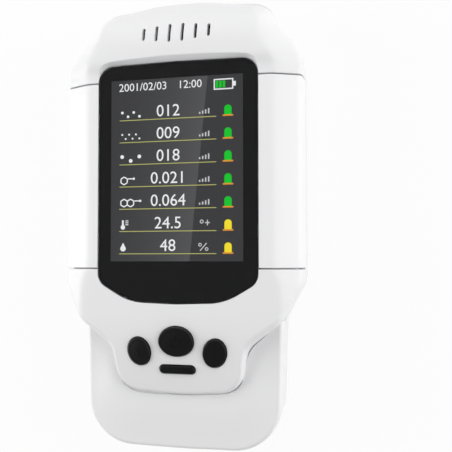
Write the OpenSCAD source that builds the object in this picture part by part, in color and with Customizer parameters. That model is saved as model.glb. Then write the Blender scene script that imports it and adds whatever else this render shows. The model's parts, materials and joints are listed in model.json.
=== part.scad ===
// Handheld air quality monitor.
// It lies on its back: +Z out of the display, +Y towards the head, +X to the display's right.
// The origin is the middle of the back face's box. All sizes are in millimetres.

/* [Body] */
// Width across the side panels
body_w = 88.6; // [84:0.2:110]
// Length from the head's top edge to the tail's end
body_l = 162.5; // [156:0.5:200]
// Thickness from the back face to the window's face
body_t = 34; // [33:0.5:42]
// How far the head's brow stands above the window's face
brow_h = 1.4; // [0.6:0.1:2.4]
// Length of the head above the window
head_l = 24.1; // [20:0.1:28]
// Width of the head's top edge
head_w = 61.2; // [50:0.2:64]
// Width at the head's shoulders, where the outline turns outwards
neck_w = 69.2; // [64:0.2:74]
// Thickness of the case walls
wall = 2; // [1.6:0.1:2.4]
// Height of the seam between the back cover and the pieces above it
seam_h = 22; // [21:0.5:23]
// Gap at every seam between two covers
seam_gap = 0.2; // [0.1:0.05:0.4]
// Thickness of a side panel
panel_t = 1.7; // [1.2:0.1:2.2]
// Distance from the window's top edge down to the upper cross seam
upper_seam = 6.5; // [4:0.1:10]
// Distance from the window's bottom edge up to the lower cross seam
lower_seam = 12.5; // [8:0.1:16]
// Height of the crease where the side facets start, below the window's face
crease_drop = 0.7; // [0.4:0.1:1.5]
// Distance of that crease from the side
crease_in = 10; // [8:0.5:13]

/* [Apron and tail] */
// Length of the apron below the window
apron_l = 32.3; // [31:0.1:36]
// Width of the apron at its lower end
apron_w = 44.6; // [44:0.2:50]
// How far the apron's lower end drops below the window's face
apron_drop = 4.5; // [3:0.1:6]
// Width of the tail
tail_w = 73; // [72:0.2:80]
// How far the tail's front face lies below the window's face
tail_drop = 7; // [6:0.1:9]
// Radius of the tail's two corners
tail_r = 17; // [12:0.1:20]

/* [Window and display] */
// Width of the window glass
glass_w = 59.4; // [59:0.1:64]
// Length of the window glass
glass_l = 86.4; // [86:0.1:92]
// Thickness of the window glass
glass_t = 1.2; // [0.8:0.1:1.6]
// Thickness of the adhesive under the glass
adhesive_t = 0.3; // [0.2:0.05:0.5]
// Width of the display panel
lcd_w = 54.4; // [50:0.2:55]
// Length of the display panel
lcd_l = 74; // [70:0.5:75]
// Thickness of the display panel
lcd_t = 2.4; // [2:0.1:2.8]
// Distance from the window's top edge to the display panel
lcd_top = 2.8; // [2.4:0.1:4]

/* [Keys] */
// Width and height of the power key
power_size = [12.8, 10.6];
// Width and height of the left and the right key
side_size = [8.3, 10.2];
// Outward lean of the left and the right key, in degrees
side_lean = 12; // [0:1:20]
// Width and height of the menu key
menu_size = [12.9, 2.9];
// Space between neighbouring keys
key_space = 3.4; // [2.2:0.1:4]
// Distance from the window's bottom edge to the side keys
key_drop = 16.8; // [16:0.1:18]
// Tilt of the key plane
key_tilt = 11; // [6:1:14]
// Height of a key above the apron
key_h = 1; // [0.6:0.1:1.6]
// Travel of a key
key_travel = 0.4; // [0.2:0.05:0.6]
// Gap around a key in its hole
key_gap = 0.2; // [0.15:0.05:0.4]

/* [Vents] */
// Number of slots in the head
slot_count = 6; // [2:2:8]
// Distance between slots
slot_pitch = 4.85; // [4:0.05:5.5]
// Width of a slot
slot_w = 1; // [0.8:0.1:1.6]
// Length of the middle slots
slot_l = 7; // [5:0.1:9]

/* [Boards and cell] */
// Thickness of the main board
board_t = 1.6; // [1:0.2:2]
// Size of the main board
board_size = [68, 79.5];
// Radius of the battery cell
cell_r = 9.2; // [7:0.1:9.2]
// Length of the battery cell
cell_l = 65; // [60:0.5:66]
// Width, length and height of the dust sensor
pm_size = [50, 38, 21];
// Radius of the dust sensor's fan
fan_r = 8.5; // [6:0.5:9]
// Number of fan blades
fan_blades = 7; // [5:1:11]
// Running clearance between the fan and its shaft
fan_gap = 0.05; // [0.02:0.01:0.08]

/* [Screws] */
// Radius of a case screw's thread
case_screw_r = 1.2; // [1:0.1:1.5]
// Depth of the wells that sink the case screws
well_depth = 9; // [5:0.5:12]
// Radius of a board screw's thread
board_screw_r = 0.95; // [0.8:0.05:1.2]

/* [Hidden] */

$fn = 48;
eps = 0.01;
fit = 0.3;          // clearance around a piece that drops into a pocket

// Where things lie along the length
head_y = body_l / 2;
glass_top = head_y - head_l;
glass_end = glass_top - glass_l;
apron_end = glass_end - apron_l;
upper_seam_y = glass_top - upper_seam;
lower_seam_y = glass_end + lower_seam;
half_w = body_w / 2;

// Heights
facet_slope = 0.48;                         // fall of the side facets across the width, per millimetre
crease_z = body_t - crease_drop;
facet_z = crease_z - crease_in * facet_slope;
tail_z = body_t - tail_drop;
tail_crown = 0.3;                           // rise of the tail's face towards its middle
glass_z = body_t - glass_t;                 // underside of the glass
seat_z = glass_z - adhesive_t;              // face that the adhesive sticks to
seat_t = 1.6;                               // thickness of that seat
panel_seat = panel_t + 0.1;                 // depth of the side panels' recess
rib_t = 1.5;                                // skin below that recess

// Rounded outlines: each point is [x, y, radius]
function unit(v) = v / norm(v);
function cross_z(a, b) = a[0] * b[1] - a[1] * b[0];
function arc(a, p, b, r, n) =
    let (u = unit(a - p), v = unit(b - p), half = acos(u * v) / 2,
         c = p + unit(u + v) * r / sin(half),
         s = p + u * r / tan(half) - c, e = p + v * r / tan(half) - c,
         a0 = atan2(s[1], s[0]), raw = atan2(e[1], e[0]) - a0,
         sweep = raw > 180 ? raw - 360 : raw < -180 ? raw + 360 : raw)
    [for (i = [0:n]) c + r * [cos(a0 + sweep * i / n), sin(a0 + sweep * i / n)]];
function flat(p) = [p[0], p[1]];
function rounded(pts, n = 6) =
    let (k = len(pts))
    [for (i = [0:k - 1]) each pts[i][2] == 0 ? [flat(pts[i])]
        : arc(flat(pts[(i + k - 1) % k]), flat(pts[i]), flat(pts[(i + 1) % k]), pts[i][2], n)];
// The same outline moved inwards by d, for points that run anticlockwise
function inset(pts, d) =
    let (k = len(pts))
    [for (i = [0:k - 1])
        let (p = flat(pts[i]), e0 = unit(p - flat(pts[(i + k - 1) % k])),
             e1 = unit(flat(pts[(i + 1) % k]) - p),
             n0 = [-e0[1], e0[0]], n1 = [-e1[1], e1[0]],
             q = p + d * (n0 + n1) / (1 + n0 * n1),
             bend = cross_z(e0, e1) > 0 ? -1 : 1)
        [q[0], q[1], pts[i][2] == 0 ? 0 : max(0.4, pts[i][2] + bend * d)]];
function mirrored(half) =
    concat(half, [for (i = [len(half) - 1:-1:0]) let (p = half[i]) if (p[0] > eps) [-p[0], p[1], p[2]]]);

// Outline of the body seen from the front, without the tail
body_outline = mirrored([
    [0, apron_end, 0],
    [apron_w / 2, apron_end + 1.3, 5.5],
    [apron_w / 2 + 2.6, glass_end - 15.6, 7],
    [tail_w / 2, glass_end - 5.9, 9],
    [half_w, glass_end + 7.5, 10],
    [half_w, head_y - 21.9, 15],
    [neck_w / 2, head_y - 10, 5],
    [head_w / 2, head_y - 2.3, 10],
    [0, head_y, 0]
]);
tail_outline = mirrored([
    [0, -head_y, 0],
    [tail_w / 2 - 1.6, -head_y + 0.6, tail_r],
    [tail_w / 2, glass_end - 7, 4],
    [tail_w / 2 - 5, glass_end + 2, 4],
    [0, glass_end + 2, 0]
]);
glass_outline = mirrored([
    [0, glass_end, 0],
    [glass_w / 2 - 12.1, glass_end + 0.9, 8],
    [glass_w / 2 - 0.1, glass_end + 9.1, 4],
    [glass_w / 2, glass_top - 0.8, 6],
    [0, glass_top, 0]
]);
// Cross-section of the body and of the tail, as [x, height, radius]
body_section = mirrored([
    [0, 0, 0],
    [half_w - 1.4, 0, 6],
    [half_w + 0.3, 12, 20],
    [half_w + 0.3, facet_z, 6],
    [half_w - crease_in, crease_z, 8],
    [glass_w / 2, body_t + 0.1, 0],
    [glass_w / 3, body_t + brow_h + 0.2, 10],
    [0, body_t + brow_h + 0.5, 0]
]);
tail_section = mirrored([
    [0, 0, 0],
    [tail_w / 2 - 1, 0, 5],
    [tail_w / 2 + 0.3, 10, 20],
    [tail_w / 2 + 0.3, tail_z, 2.2],
    [0, tail_z + tail_crown, 0]
]);
// Side profile, as [y, height, radius]: the apron's fall is a parabola that starts near the window
fall_y = glass_end - 2.2;
function fall(y) = body_t - apron_drop * pow((fall_y - y) / (fall_y - apron_end), 2);
body_profile = [
    [-head_y - 0.4, 0, 5],
    [head_y + 0.4, 0, 6],
    [head_y + 0.4, body_t - 8.5, 4],
    [head_y - 4.2, body_t - 3.6, 8],
    [head_y - 10.1, body_t - 0.2, 12],
    [head_y - 17, body_t + brow_h, 8],
    [glass_top - 1, body_t + brow_h, 12],
    [upper_seam_y - 2, body_t, 0],
    each [for (i = [0:5]) let (y = fall_y + (apron_end - fall_y) * i / 5) [y, fall(y), 0]],
    [-head_y - 0.4, fall(apron_end) - 3, 0]
];

module plan(outline, d, h0, h1) {
    translate([0, 0, h0]) linear_extrude(height = h1 - h0) polygon(rounded(inset(outline, d)));
}
module along(section, d) {
    rotate([90, 0, 0]) linear_extrude(height = body_l + 20, center = true)
        polygon(rounded(inset(section, d), 4));
}
module across(profile, d) {
    rotate([90, 0, 90]) linear_extrude(height = body_w + 20, center = true)
        polygon(rounded(inset(profile, d), 4));
}
// The body's outer form moved inwards by d, between two heights
module body_form(d, h0 = -1, h1 = body_t + 10) {
    intersection() {
        plan(body_outline, d, h0, h1);
        along(body_section, d);
        across(body_profile, d);
    }
}
module tail_form(d, h0 = -1, h1 = body_t) {
    intersection() {
        plan(tail_outline, d, h0, h1);
        along(tail_section, d);
        across(body_profile, d);
    }
}
module block(low, high) {
    translate(low) cube(high - low);
}
module post(x, y, h0, h1, r) {
    translate([x, y, h0]) cylinder(r = r, h = h1 - h0);
}

// ---- Covers ----
// The stretch between the cross seams where the side panels lie, on one side
module panel_zone(side, gap) {
    x0 = glass_w / 2 + 0.3;
    translate([side > 0 ? 0 : -body_w, 0, 0])
        block([side > 0 ? x0 - gap : 0, lower_seam_y - gap, seam_h - 5],
              [side > 0 ? body_w : body_w - x0 + gap, upper_seam_y + gap, body_t + 10]);
}
case_screw_xy = [
    [half_w - 8.2, head_y - 23.5], [tail_w / 2 - 4.5, glass_end - 1.3], [tail_w / 2 - 10.7, -head_y + 10]
];
tail_screw = case_screw_xy[2];
front_boss_top = body_t - 3.5;
boss_r = case_screw_r + 1.9;

module key_frame() {
    translate([0, glass_end - key_drop, fall(glass_end - key_drop)])
        rotate([key_tilt, 0, 0]) children();
}
// Places of the keys' middles in the key plane, which has its origin level with the side keys
power_at = [0, 3.8];
side_at = [(power_size[0] + side_size[0]) / 2 + key_space, 0];
menu_at = [0, power_at[1] - (power_size[1] + menu_size[1]) / 2 - key_space];

module ellipse_prism(size, h0, h1, grow = 0, n = 32) {
    translate([0, 0, h0]) linear_extrude(height = h1 - h0)
        polygon([for (i = [0:n - 1]) [(size[0] / 2 + grow) * cos(i * 360 / n),
                                      (size[1] / 2 + grow) * sin(i * 360 / n)]]);
}
module pill_prism(size, h0, h1, grow = 0) {
    r = size[1] / 2 + grow;
    for (side = [-1, 1])
        translate([side * (size[0] / 2 - size[1] / 2), 0, h0]) cylinder(r = r, h = h1 - h0, $fn = 32);
    block([-(size[0] - size[1]) / 2, -r, h0], [(size[0] - size[1]) / 2, r, h1]);
}
key_board_w = -wall - 4.4;       // top of the key board, measured from the key plane
key_screw_at = [20, 5.8];

module key_holes() {
    key_frame() {
        translate(power_at) ellipse_prism(power_size, -8, 8, key_gap);
        for (side = [-1, 1]) translate([side * side_at[0], side_at[1]]) rotate([0, 0, -side * side_lean])
            ellipse_prism(side_size, -8, 8, key_gap);
        translate(menu_at) pill_prism(menu_size, -8, 8, key_gap);
        // flat inner face that the keys' flanges stop against
        half = side_at[0] + side_size[0] / 2 + 1.2;
        block([-half, -11.5, -7], [half, 12, -wall]);
    }
}
// The head or the apron: everything beyond the window's seat, which starts at a distance from it
module beyond_window(gap) {
    block([-body_w, glass_top + gap, 0], [body_w, head_y + 5, body_t + 5]);
    block([-body_w, -head_y, 0], [body_w, glass_end - gap, body_t + 5]);
}
flange_in = wall + 0.6;          // how far the tail cover's flange reaches in under the apron
module front_hollow() {
    body_form(panel_seat + rib_t, seam_h - 1);
    intersection() {
        body_form(wall, seam_h - 1, seat_z - seat_t);
        union() {
            block([-body_w, upper_seam_y + rib_t, 0], [body_w, head_y + 5, body_t]);
            block([-body_w, -head_y, 0], [body_w, lower_seam_y - rib_t, body_t]);
        }
    }
    intersection() {
        body_form(wall, seam_h - 1);
        beyond_window(2.5);
    }
}
module front_cover() {
    color([0.93, 0.93, 0.94]) difference() {
        union() {
            difference() {
                body_form(0, seam_h + seam_gap / 2);
                front_hollow();
            }
            // seat around the display
            plan(glass_outline, -2, seat_z - seat_t, seat_z + eps);
            intersection() {
                for (side = [-1, 1], p = case_screw_xy) if (p[1] > -head_y + 20)
                    post(side * p[0], p[1], seam_h + seam_gap / 2, body_t + brow_h, boss_r);
                body_form(wall / 2);
            }
            key_frame() for (side = [-1, 1])
                post(side * key_screw_at[0], key_screw_at[1], key_board_w, -wall / 2, 2.2);
        }
        for (side = [-1, 1]) difference() {
            panel_zone(side, seam_gap);
            body_form(panel_seat);
        }
        // pocket for the glass
        plan(glass_outline, -0.15, seat_z, body_t + 10);
        // opening for the display panel
        block([-lcd_w / 2 - fit, glass_top - lcd_top - lcd_l - fit, seat_z - 5],
              [lcd_w / 2 + fit, glass_top - lcd_top + fit, body_t]);
        key_holes();
        // the tail cover's flange runs in under the apron
        difference() {
            plan(tail_outline, -seam_gap, seam_h - 1, tail_z + tail_crown + seam_gap / 2);
            plan(body_outline, flange_in + seam_gap, seam_h - 2, tail_z + 1);
        }
        for (side = [-1, 1], p = case_screw_xy)
            post(side * p[0], p[1], seam_h - 1, front_boss_top - 1.5, case_screw_r + 0.05);
        key_frame() for (side = [-1, 1])
            post(side * key_screw_at[0], key_screw_at[1], key_board_w - 1, -wall + 0.2, board_screw_r + 0.05);
        for (i = [0:slot_count - 1]) slot(i);
    }
}
// One vent slot: the slots shorten towards the sides
slot_y = head_y - 13.4;
module slot(i) {
    step = abs(i - (slot_count - 1) / 2) - 0.5;
    x = (i - (slot_count - 1) / 2) * slot_pitch;
    l = slot_l - step * 1.1;
    half = (l - slot_w) / 2;
    block([x - slot_w / 2, slot_y - half, body_t - 12], [x + slot_w / 2, slot_y + half, body_t + 5]);
    for (e = [-1, 1]) post(x, slot_y + e * half, body_t - 12, body_t + 5, slot_w / 2);
}
module side_panel(side) {
    color([0.96, 0.96, 0.97]) intersection() {
        difference() {
            body_form(0, seam_h + seam_gap / 2);
            body_form(panel_t, seam_h - 5);
        }
        panel_zone(side, 0);
    }
}
module left_side_panel() {
    side_panel(-1);
}
module right_side_panel() {
    side_panel(1);
}
tail_skin = 1.8;                 // thickness of the tail cover's face
module grille_slot(x, y, w) {
    block([x - w / 2, y - 7, -1], [x + w / 2, y + 7, wall + 1]);
}
module back_cover() {
    color([0.93, 0.93, 0.94]) difference() {
        union() {
            difference() {
                union() {
                    body_form(0, -1, seam_h - seam_gap / 2);
                    tail_form(0, -1, seam_h - seam_gap / 2);
                }
                body_form(wall);
                tail_form(wall);
            }
            intersection() {
                union() {
                    for (side = [-1, 1], p = case_screw_xy)
                        post(side * p[0], p[1], wall / 2, seam_h - seam_gap / 2, boss_r + 0.9);
                    for (side = [-1, 1], y = board_post_y)
                        post(side * board_post_x, y, wall / 2, board_z, 2.6);
                    cell_cradle();
                    charge_rails();
                }
                union() {
                    body_form(wall / 2);
                    tail_form(wall / 2);
                }
            }
        }
        for (side = [-1, 1], p = case_screw_xy) {
            post(side * p[0], p[1], -1, well_depth, case_screw_r * 2 + 0.3);
            post(side * p[0], p[1], -1, seam_h + 1, case_screw_r + 0.2);
        }
        for (side = [-1, 1], y = board_post_y)
            post(side * board_post_x, y, board_z - 6, board_z + 1, board_screw_r + 0.05);
        for (side = [-1, 1])
            post(side * charge_screw_x, charge_screw_y, wall, charge_z + 1, board_screw_r + 0.05);
        // grilles in the back: below the fan and below the gas sensors
        for (i = [-3:3]) {
            grille_slot(fan_xy[0] + i * 2.6, fan_xy[1], 1.2);
            grille_slot(i * 4, gas_y, 1.4);
        }
        // the USB socket's mouth
        block([-usb_size[0] / 2 - fit, -head_y - 2, charge_z + charge_t - fit],
              [usb_size[0] / 2 + fit, -head_y + wall + 1, charge_z + charge_t + usb_size[2] + fit]);
    }
}
module tail_cover() {
    color([0.93, 0.93, 0.94]) difference() {
        union() {
            tail_form(0, seam_h + seam_gap / 2);
            for (side = [-1, 1])
                post(side * tail_screw[0], tail_screw[1], seam_h + seam_gap / 2, tail_z - 0.6, boss_r);
        }
        difference() {
            tail_form(wall, seam_h - 1, tail_z - tail_skin);
            for (side = [-1, 1]) post(side * tail_screw[0], tail_screw[1], seam_h - 1, tail_z, boss_r);
        }
        // open under the apron, for the key board
        plan(body_outline, flange_in, seam_h - 1, tail_z + 5);
        for (side = [-1, 1])
            post(side * tail_screw[0], tail_screw[1], seam_h - 1, tail_z - 1.2, case_screw_r + 0.05);
    }
}

// ---- Window and display ----
module display_window() {
    color([0.05, 0.05, 0.06]) plan(glass_outline, 0, glass_z, body_t);
}
lcd_end = glass_top - lcd_top - lcd_l;
module window_adhesive() {
    color([0.1, 0.1, 0.1]) difference() {
        plan(glass_outline, 0.2, seat_z, glass_z);
        block([-lcd_w / 2 - fit - 0.2, lcd_end - fit - 0.2, seat_z - 1],
              [lcd_w / 2 + fit + 0.2, glass_top - lcd_top + fit + 0.2, glass_z + 1]);
    }
}
lcd_face = glass_z - 0.2;
frame_z = lcd_face - lcd_t;
frame_rim = 1.3;
module lcd_panel() {
    color([0.12, 0.12, 0.14])
        block([-lcd_w / 2, lcd_end, frame_z], [lcd_w / 2, lcd_end + lcd_l, lcd_face]);
}
module lcd_frame() {
    low = [-lcd_w / 2 - frame_rim, lcd_end - frame_rim, board_z + board_t];
    high = [lcd_w / 2 + frame_rim, lcd_end + lcd_l + frame_rim, frame_z];
    color([0.75, 0.76, 0.78]) difference() {
        block(low, high);
        block(low + [frame_rim, frame_rim, -1], high - [frame_rim, frame_rim, 1]);
        block(low + [4, 4, -1], high - [4, 4, -1]);
    }
}
module lcd_ribbon() {
    // leaves the panel's lower end, turns down past the frame and runs back onto the board
    y0 = lcd_end;
    y1 = lcd_end - frame_rim - 0.4;
    zt = frame_z + 0.5;
    zb = board_z + board_t + 1;
    color([0.75, 0.45, 0.15]) translate([-9, 0, 0]) rotate([90, 0, 90]) linear_extrude(height = 18)
        polygon([[y0, zt], [y1 - 0.4, zt], [y1 - 0.8, zt - 0.4], [y1 - 0.8, zb], [y1 - 1.5, zb],
                 [y1 - 1.5, zb - 0.25], [y1 - 0.55, zb - 0.25], [y1 - 0.55, zt - 0.5], [y1 - 0.3, zt - 0.25],
                 [y0, zt - 0.25]]);
}
module ribbon_connector() {
    y1 = lcd_end - frame_rim - 1.9;
    color([0.9, 0.88, 0.8])
        block([-10, y1 - 3.2, board_z + board_t], [10, y1, board_z + board_t + 1.4]);
}

// ---- Keys ----
module elliptic_key(at, size, lean = 0) {
    color([0.08, 0.08, 0.09]) key_frame() translate(at) rotate([0, 0, lean]) {
        ellipse_prism(size, -wall - 0.5, key_h - 0.4);
        hull() {
            ellipse_prism(size, key_h - 0.5, key_h - 0.4, 0, 32);
            ellipse_prism(size, key_h, key_h + 0.1, -0.8, 32);
        }
        ellipse_prism(size, -wall - 1.1, -wall - 0.1, 0.8);
    }
}
module power_key() {
    elliptic_key(power_at, power_size);
}
module left_key() {
    elliptic_key([-side_at[0], side_at[1]], side_size, side_lean);
}
module right_key() {
    elliptic_key(side_at, side_size, -side_lean);
}
module menu_key() {
    color([0.08, 0.08, 0.09]) key_frame() translate(menu_at) {
        pill_prism(menu_size, -wall - 0.5, key_h);
        pill_prism(menu_size, -wall - 1.1, -wall - 0.1, 0.6);
    }
}
plunger_r = 1.1;
plunger_seat = 1.1;              // height of a plunger's foot above the key board
flange_w = -wall - 1.1;
switch_h = 2.4;
module plunger(at) {
    color([0.2, 0.2, 0.22]) key_frame()
        translate([at[0], at[1], key_board_w + plunger_seat])
            cylinder(r = plunger_r, h = flange_w - key_board_w - plunger_seat);
}
module power_plunger() {
    plunger(power_at);
}
module left_plunger() {
    plunger([-side_at[0], side_at[1]]);
}
module right_plunger() {
    plunger(side_at);
}
module menu_plunger() {
    plunger(menu_at);
}
module key_switches() {
    color([0.7, 0.7, 0.72]) key_frame()
        for (at = [power_at, side_at, [-side_at[0], side_at[1]], menu_at])
            translate([at[0], at[1], key_board_w]) difference() {
                block([-2.6, -2.2, 0], [2.6, 2.2, switch_h]);
                translate([0, 0, plunger_seat - key_travel - 0.1]) cylinder(r = plunger_r + 0.08, h = switch_h);
            }
}
module key_board() {
    color([0.1, 0.35, 0.2]) key_frame() difference() {
        union() {
            block([-23, 2.2, key_board_w - 1.2], [23, 10.6, key_board_w]);
            block([-18.4, -9.2, key_board_w - 1.2], [18.4, 3, key_board_w]);
        }
        for (side = [-1, 1])
            post(side * key_screw_at[0], key_screw_at[1], key_board_w - 3, key_board_w + 1,
                 board_screw_r + 0.1);
    }
}

// ---- Main board ----
board_z = seat_z - 8;            // underside of the main board
board_top_y = upper_seam_y + 1.75;
board_end_y = board_top_y - board_size[1];
board_post_x = board_size[0] / 2 - 3.2;
board_post_y = [board_end_y + 4, board_top_y - 4];
module main_board() {
    color([0.1, 0.35, 0.2]) difference() {
        block([-board_size[0] / 2, board_end_y, board_z],
              [board_size[0] / 2, board_top_y, board_z + board_t]);
        for (side = [-1, 1], y = board_post_y)
            post(side * board_post_x, y, board_z - 1, board_z + board_t + 1, board_screw_r + 0.1);
    }
}
module board_chips() {
    top = board_z + board_t;
    y = board_end_y + 20.5;
    color([0.12, 0.12, 0.13]) {
        block([-5, y + 8, top], [5, y + 18, top + 1.2]);
        block([10, y + 10, top], [16, y + 15, top + 1]);
        block([-18, y + 10, top], [-12, y + 17, top + 1]);
        for (i = [0:3]) block([8 + i * 3, y, top], [9.6 + i * 3, y + 1, top + 0.8]);
    }
}
module buzzer() {
    color([0.1, 0.1, 0.1]) translate([24, gas_y - 16, board_z - 4.5]) difference() {
        cylinder(r = 4.5, h = 4.5);
        translate([0, 0, -1]) cylinder(r = 0.9, h = 2);
    }
}
gas_y = glass_end + 43;          // the gas sensors' row
module hcho_sensor() {
    color([0.85, 0.85, 0.8]) translate([-9, gas_y, board_z - 14]) difference() {
        cylinder(r = 9, h = 14);
        translate([0, 0, -1]) cylinder(r = 3, h = 2);
    }
}
module voc_sensor() {
    color([0.8, 0.8, 0.82]) translate([10, gas_y, board_z - 7]) union() {
        cylinder(r = 4.1, h = 7);
        translate([0, 0, 6]) cylinder(r = 4.6, h = 1);
    }
}
module climate_sensor() {
    color([0.95, 0.95, 0.95]) block([18, gas_y - 2.5, board_z - 2.2], [23, gas_y + 2.5, board_z]);
}

// ---- Screws ----
// A pan-head screw along +Z: the face under its head is at z = 0, and the thread runs up
module pan_screw(r, l) {
    head_h = r * 1.1;
    difference() {
        union() {
            cylinder(r = r, h = l);
            translate([0, 0, -head_h]) cylinder(r = r * 1.9, h = head_h);
        }
        for (a = [0, 90]) rotate([0, 0, a])
            block([-r * 1.1, -r * 0.2, -head_h - 1], [r * 1.1, r * 0.2, -head_h * 0.4]);
    }
}
module case_screws() {
    color([0.6, 0.6, 0.62]) for (side = [-1, 1], p = case_screw_xy)
        translate([side * p[0], p[1], well_depth])
            pan_screw(case_screw_r, (p[1] < -head_y + 20 ? tail_z - 2 : front_boss_top - 3) - well_depth);
}
module board_screws() {
    color([0.7, 0.7, 0.72]) {
        for (side = [-1, 1], y = board_post_y)
            translate([side * board_post_x, y, board_z + board_t]) mirror([0, 0, 1])
                pan_screw(board_screw_r, 5.5);
        for (side = [-1, 1])
            translate([side * charge_screw_x, charge_screw_y, charge_z + charge_t]) mirror([0, 0, 1])
                pan_screw(board_screw_r, 3.4);
        key_frame() for (side = [-1, 1])
            translate([side * key_screw_at[0], key_screw_at[1], key_board_w - 1.2])
                pan_screw(board_screw_r, 4.5);
    }
}

// ---- Dust sensor ----
pm_y1 = head_y - 6;
pm_y0 = pm_y1 - pm_size[1];
pm_base_h = 13;
pm_wall = 1.2;
fan_xy = [-pm_size[0] / 2 + pm_wall + fan_r + 2.3, (pm_y0 + pm_y1) / 2 - 4];
fan_z = wall + pm_wall + 1;
module pm_sensor_base() {
    low = [-pm_size[0] / 2, pm_y0, wall];
    high = [pm_size[0] / 2, pm_y1, wall + pm_base_h];
    color([0.35, 0.45, 0.6]) difference() {
        block(low, high);
        block(low + [pm_wall, pm_wall, pm_wall], high - [pm_wall, pm_wall, -1]);
        for (a = [0:60:300]) translate([fan_xy[0], fan_xy[1], 0]) rotate([0, 0, a])
            block([3.6, -1.2, 0], [fan_r - 1, 1.2, wall + 3]);
    }
}
module pm_sensor_lid() {
    low = [-pm_size[0] / 2, pm_y0, wall + pm_base_h];
    high = [pm_size[0] / 2, pm_y1, wall + pm_size[2]];
    color([0.35, 0.45, 0.6]) difference() {
        block(low, high);
        block(low + [pm_wall, pm_wall, -1], high - [pm_wall, pm_wall, pm_wall]);
        for (i = [-2:2])
            block([i * 5 - 1.5, head_y - 17, wall + pm_base_h], [i * 5 + 1.5, head_y - 11, high[2] + 1]);
    }
}
shaft_r = 0.75;
module fan_motor() {
    color([0.3, 0.3, 0.32]) translate([fan_xy[0], fan_xy[1], wall + pm_wall]) {
        cylinder(r = 3.2, h = 0.8);
        cylinder(r = shaft_r, h = 8);
    }
}
module fan_rotor() {
    blade_h = 4.4;
    color([0.15, 0.15, 0.16]) translate([fan_xy[0], fan_xy[1], fan_z]) difference() {
        union() {
            cylinder(r = 3.4, h = 6);
            for (i = [0:fan_blades - 1]) rotate([0, 0, i * 360 / fan_blades]) translate([2.8, 0, 3])
                rotate([38, 0, 0]) block([0, -0.35, -blade_h / 2], [fan_r - 3.1, 0.35, blade_h / 2]);
        }
        translate([0, 0, -1]) cylinder(r = shaft_r + fan_gap, h = 8);
    }
}
laser_x = 11;
module laser_module() {
    color([0.75, 0.65, 0.35]) translate([laser_x, pm_y0 + pm_wall, wall + pm_wall + 4]) {
        rotate([-90, 0, 0]) cylinder(r = 3, h = 11);
        block([-3.6, 0, -4], [3.6, 8, 0]);
    }
}
module detector_board() {
    color([0.1, 0.35, 0.2]) union() {
        z = wall + pm_wall;
        block([3, pm_y1 - 18, z], [22, pm_y1 - pm_wall - 0.5, z + 1.2]);
        block([laser_x - 2, pm_y1 - 12, z + 1.2], [laser_x + 2, pm_y1 - 8, z + 2.6]);
    }
}
seal_y = head_y - 14;
module inlet_seal() {
    h = [slot_count * slot_pitch / 2 + 1.6, 6];
    color([0.2, 0.2, 0.22]) intersection() {
        difference() {
            block([-h[0], seal_y - h[1], wall + pm_size[2]], [h[0], seal_y + h[1], body_t + 2]);
            block([-h[0] + 1.8, seal_y - h[1] + 1.8, 0], [h[0] - 1.8, seal_y + h[1] - 1.8, body_t + 5]);
        }
        body_form(wall + 0.7);
    }
}
module dust_mesh() {
    h = [slot_count * slot_pitch / 2 + 1.6, 6];
    color([0.25, 0.25, 0.26]) intersection() {
        difference() {
            body_form(wall + 0.1);
            body_form(wall + 0.6);
        }
        block([-h[0], seal_y - h[1], body_t - 8], [h[0], seal_y + h[1], body_t + 2]);
    }
}

// ---- Battery and charging ----
cell_y = -head_y + 28;
cell_z = wall + cell_r + 0.4;
module battery_cell() {
    color([0.2, 0.4, 0.65]) translate([-cell_l / 2, cell_y, cell_z]) rotate([0, 90, 0]) {
        translate([0, 0, 0.6]) cylinder(r = cell_r, h = cell_l - 1.6);
        cylinder(r = cell_r - 1.5, h = cell_l - 1);
        cylinder(r = 3, h = cell_l);
    }
}
module cell_cradle() {
    for (x = [-20, 20]) difference() {
        block([x - 1, cell_y - cell_r - 2, wall / 2], [x + 1, cell_y + cell_r + 2, cell_z - 3]);
        translate([x - 2, cell_y, cell_z]) rotate([0, 90, 0]) cylinder(r = cell_r + 0.15, h = 4);
    }
}
module battery_pads() {
    color([0.2, 0.2, 0.2]) for (x = [-10, 10]) difference() {
        block([x - 4, cell_y - 5, wall], [x + 4, cell_y + 5, cell_z - 4]);
        translate([x - 5, cell_y, cell_z]) rotate([0, 90, 0]) cylinder(r = cell_r + 0.1, h = 10);
    }
}
charge_z = 5;
charge_t = 1;
charge_y = [-head_y + wall + 0.4, -head_y + 16];
charge_screw_x = 9;
charge_screw_y = -head_y + 13;
usb_size = [7.5, 5.6, 2.7];
module charge_rails() {
    for (side = [-1, 1])
        block([side * charge_screw_x - 2.2, -head_y + 4, wall / 2],
              [side * charge_screw_x + 2.2, charge_y[1], charge_z]);
}
module charge_board() {
    color([0.1, 0.35, 0.2]) difference() {
        block([-12, charge_y[0], charge_z], [12, charge_y[1], charge_z + charge_t]);
        for (side = [-1, 1])
            post(side * charge_screw_x, charge_screw_y, charge_z - 1, charge_z + 2, board_screw_r + 0.1);
    }
}
module usb_socket() {
    z = charge_z + charge_t;
    y = -head_y + 0.6;
    color([0.75, 0.76, 0.78]) difference() {
        block([-usb_size[0] / 2, y, z], [usb_size[0] / 2, y + usb_size[1], z + usb_size[2]]);
        difference() {
            block([-usb_size[0] / 2 + 0.4, y - 1, z + 0.4],
                  [usb_size[0] / 2 - 0.4, y + usb_size[1] - 0.8, z + usb_size[2] - 0.4]);
            block([-2.4, y + 0.5, z + 1.1], [2.4, y + usb_size[1], z + 1.6]);
        }
    }
}
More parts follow.
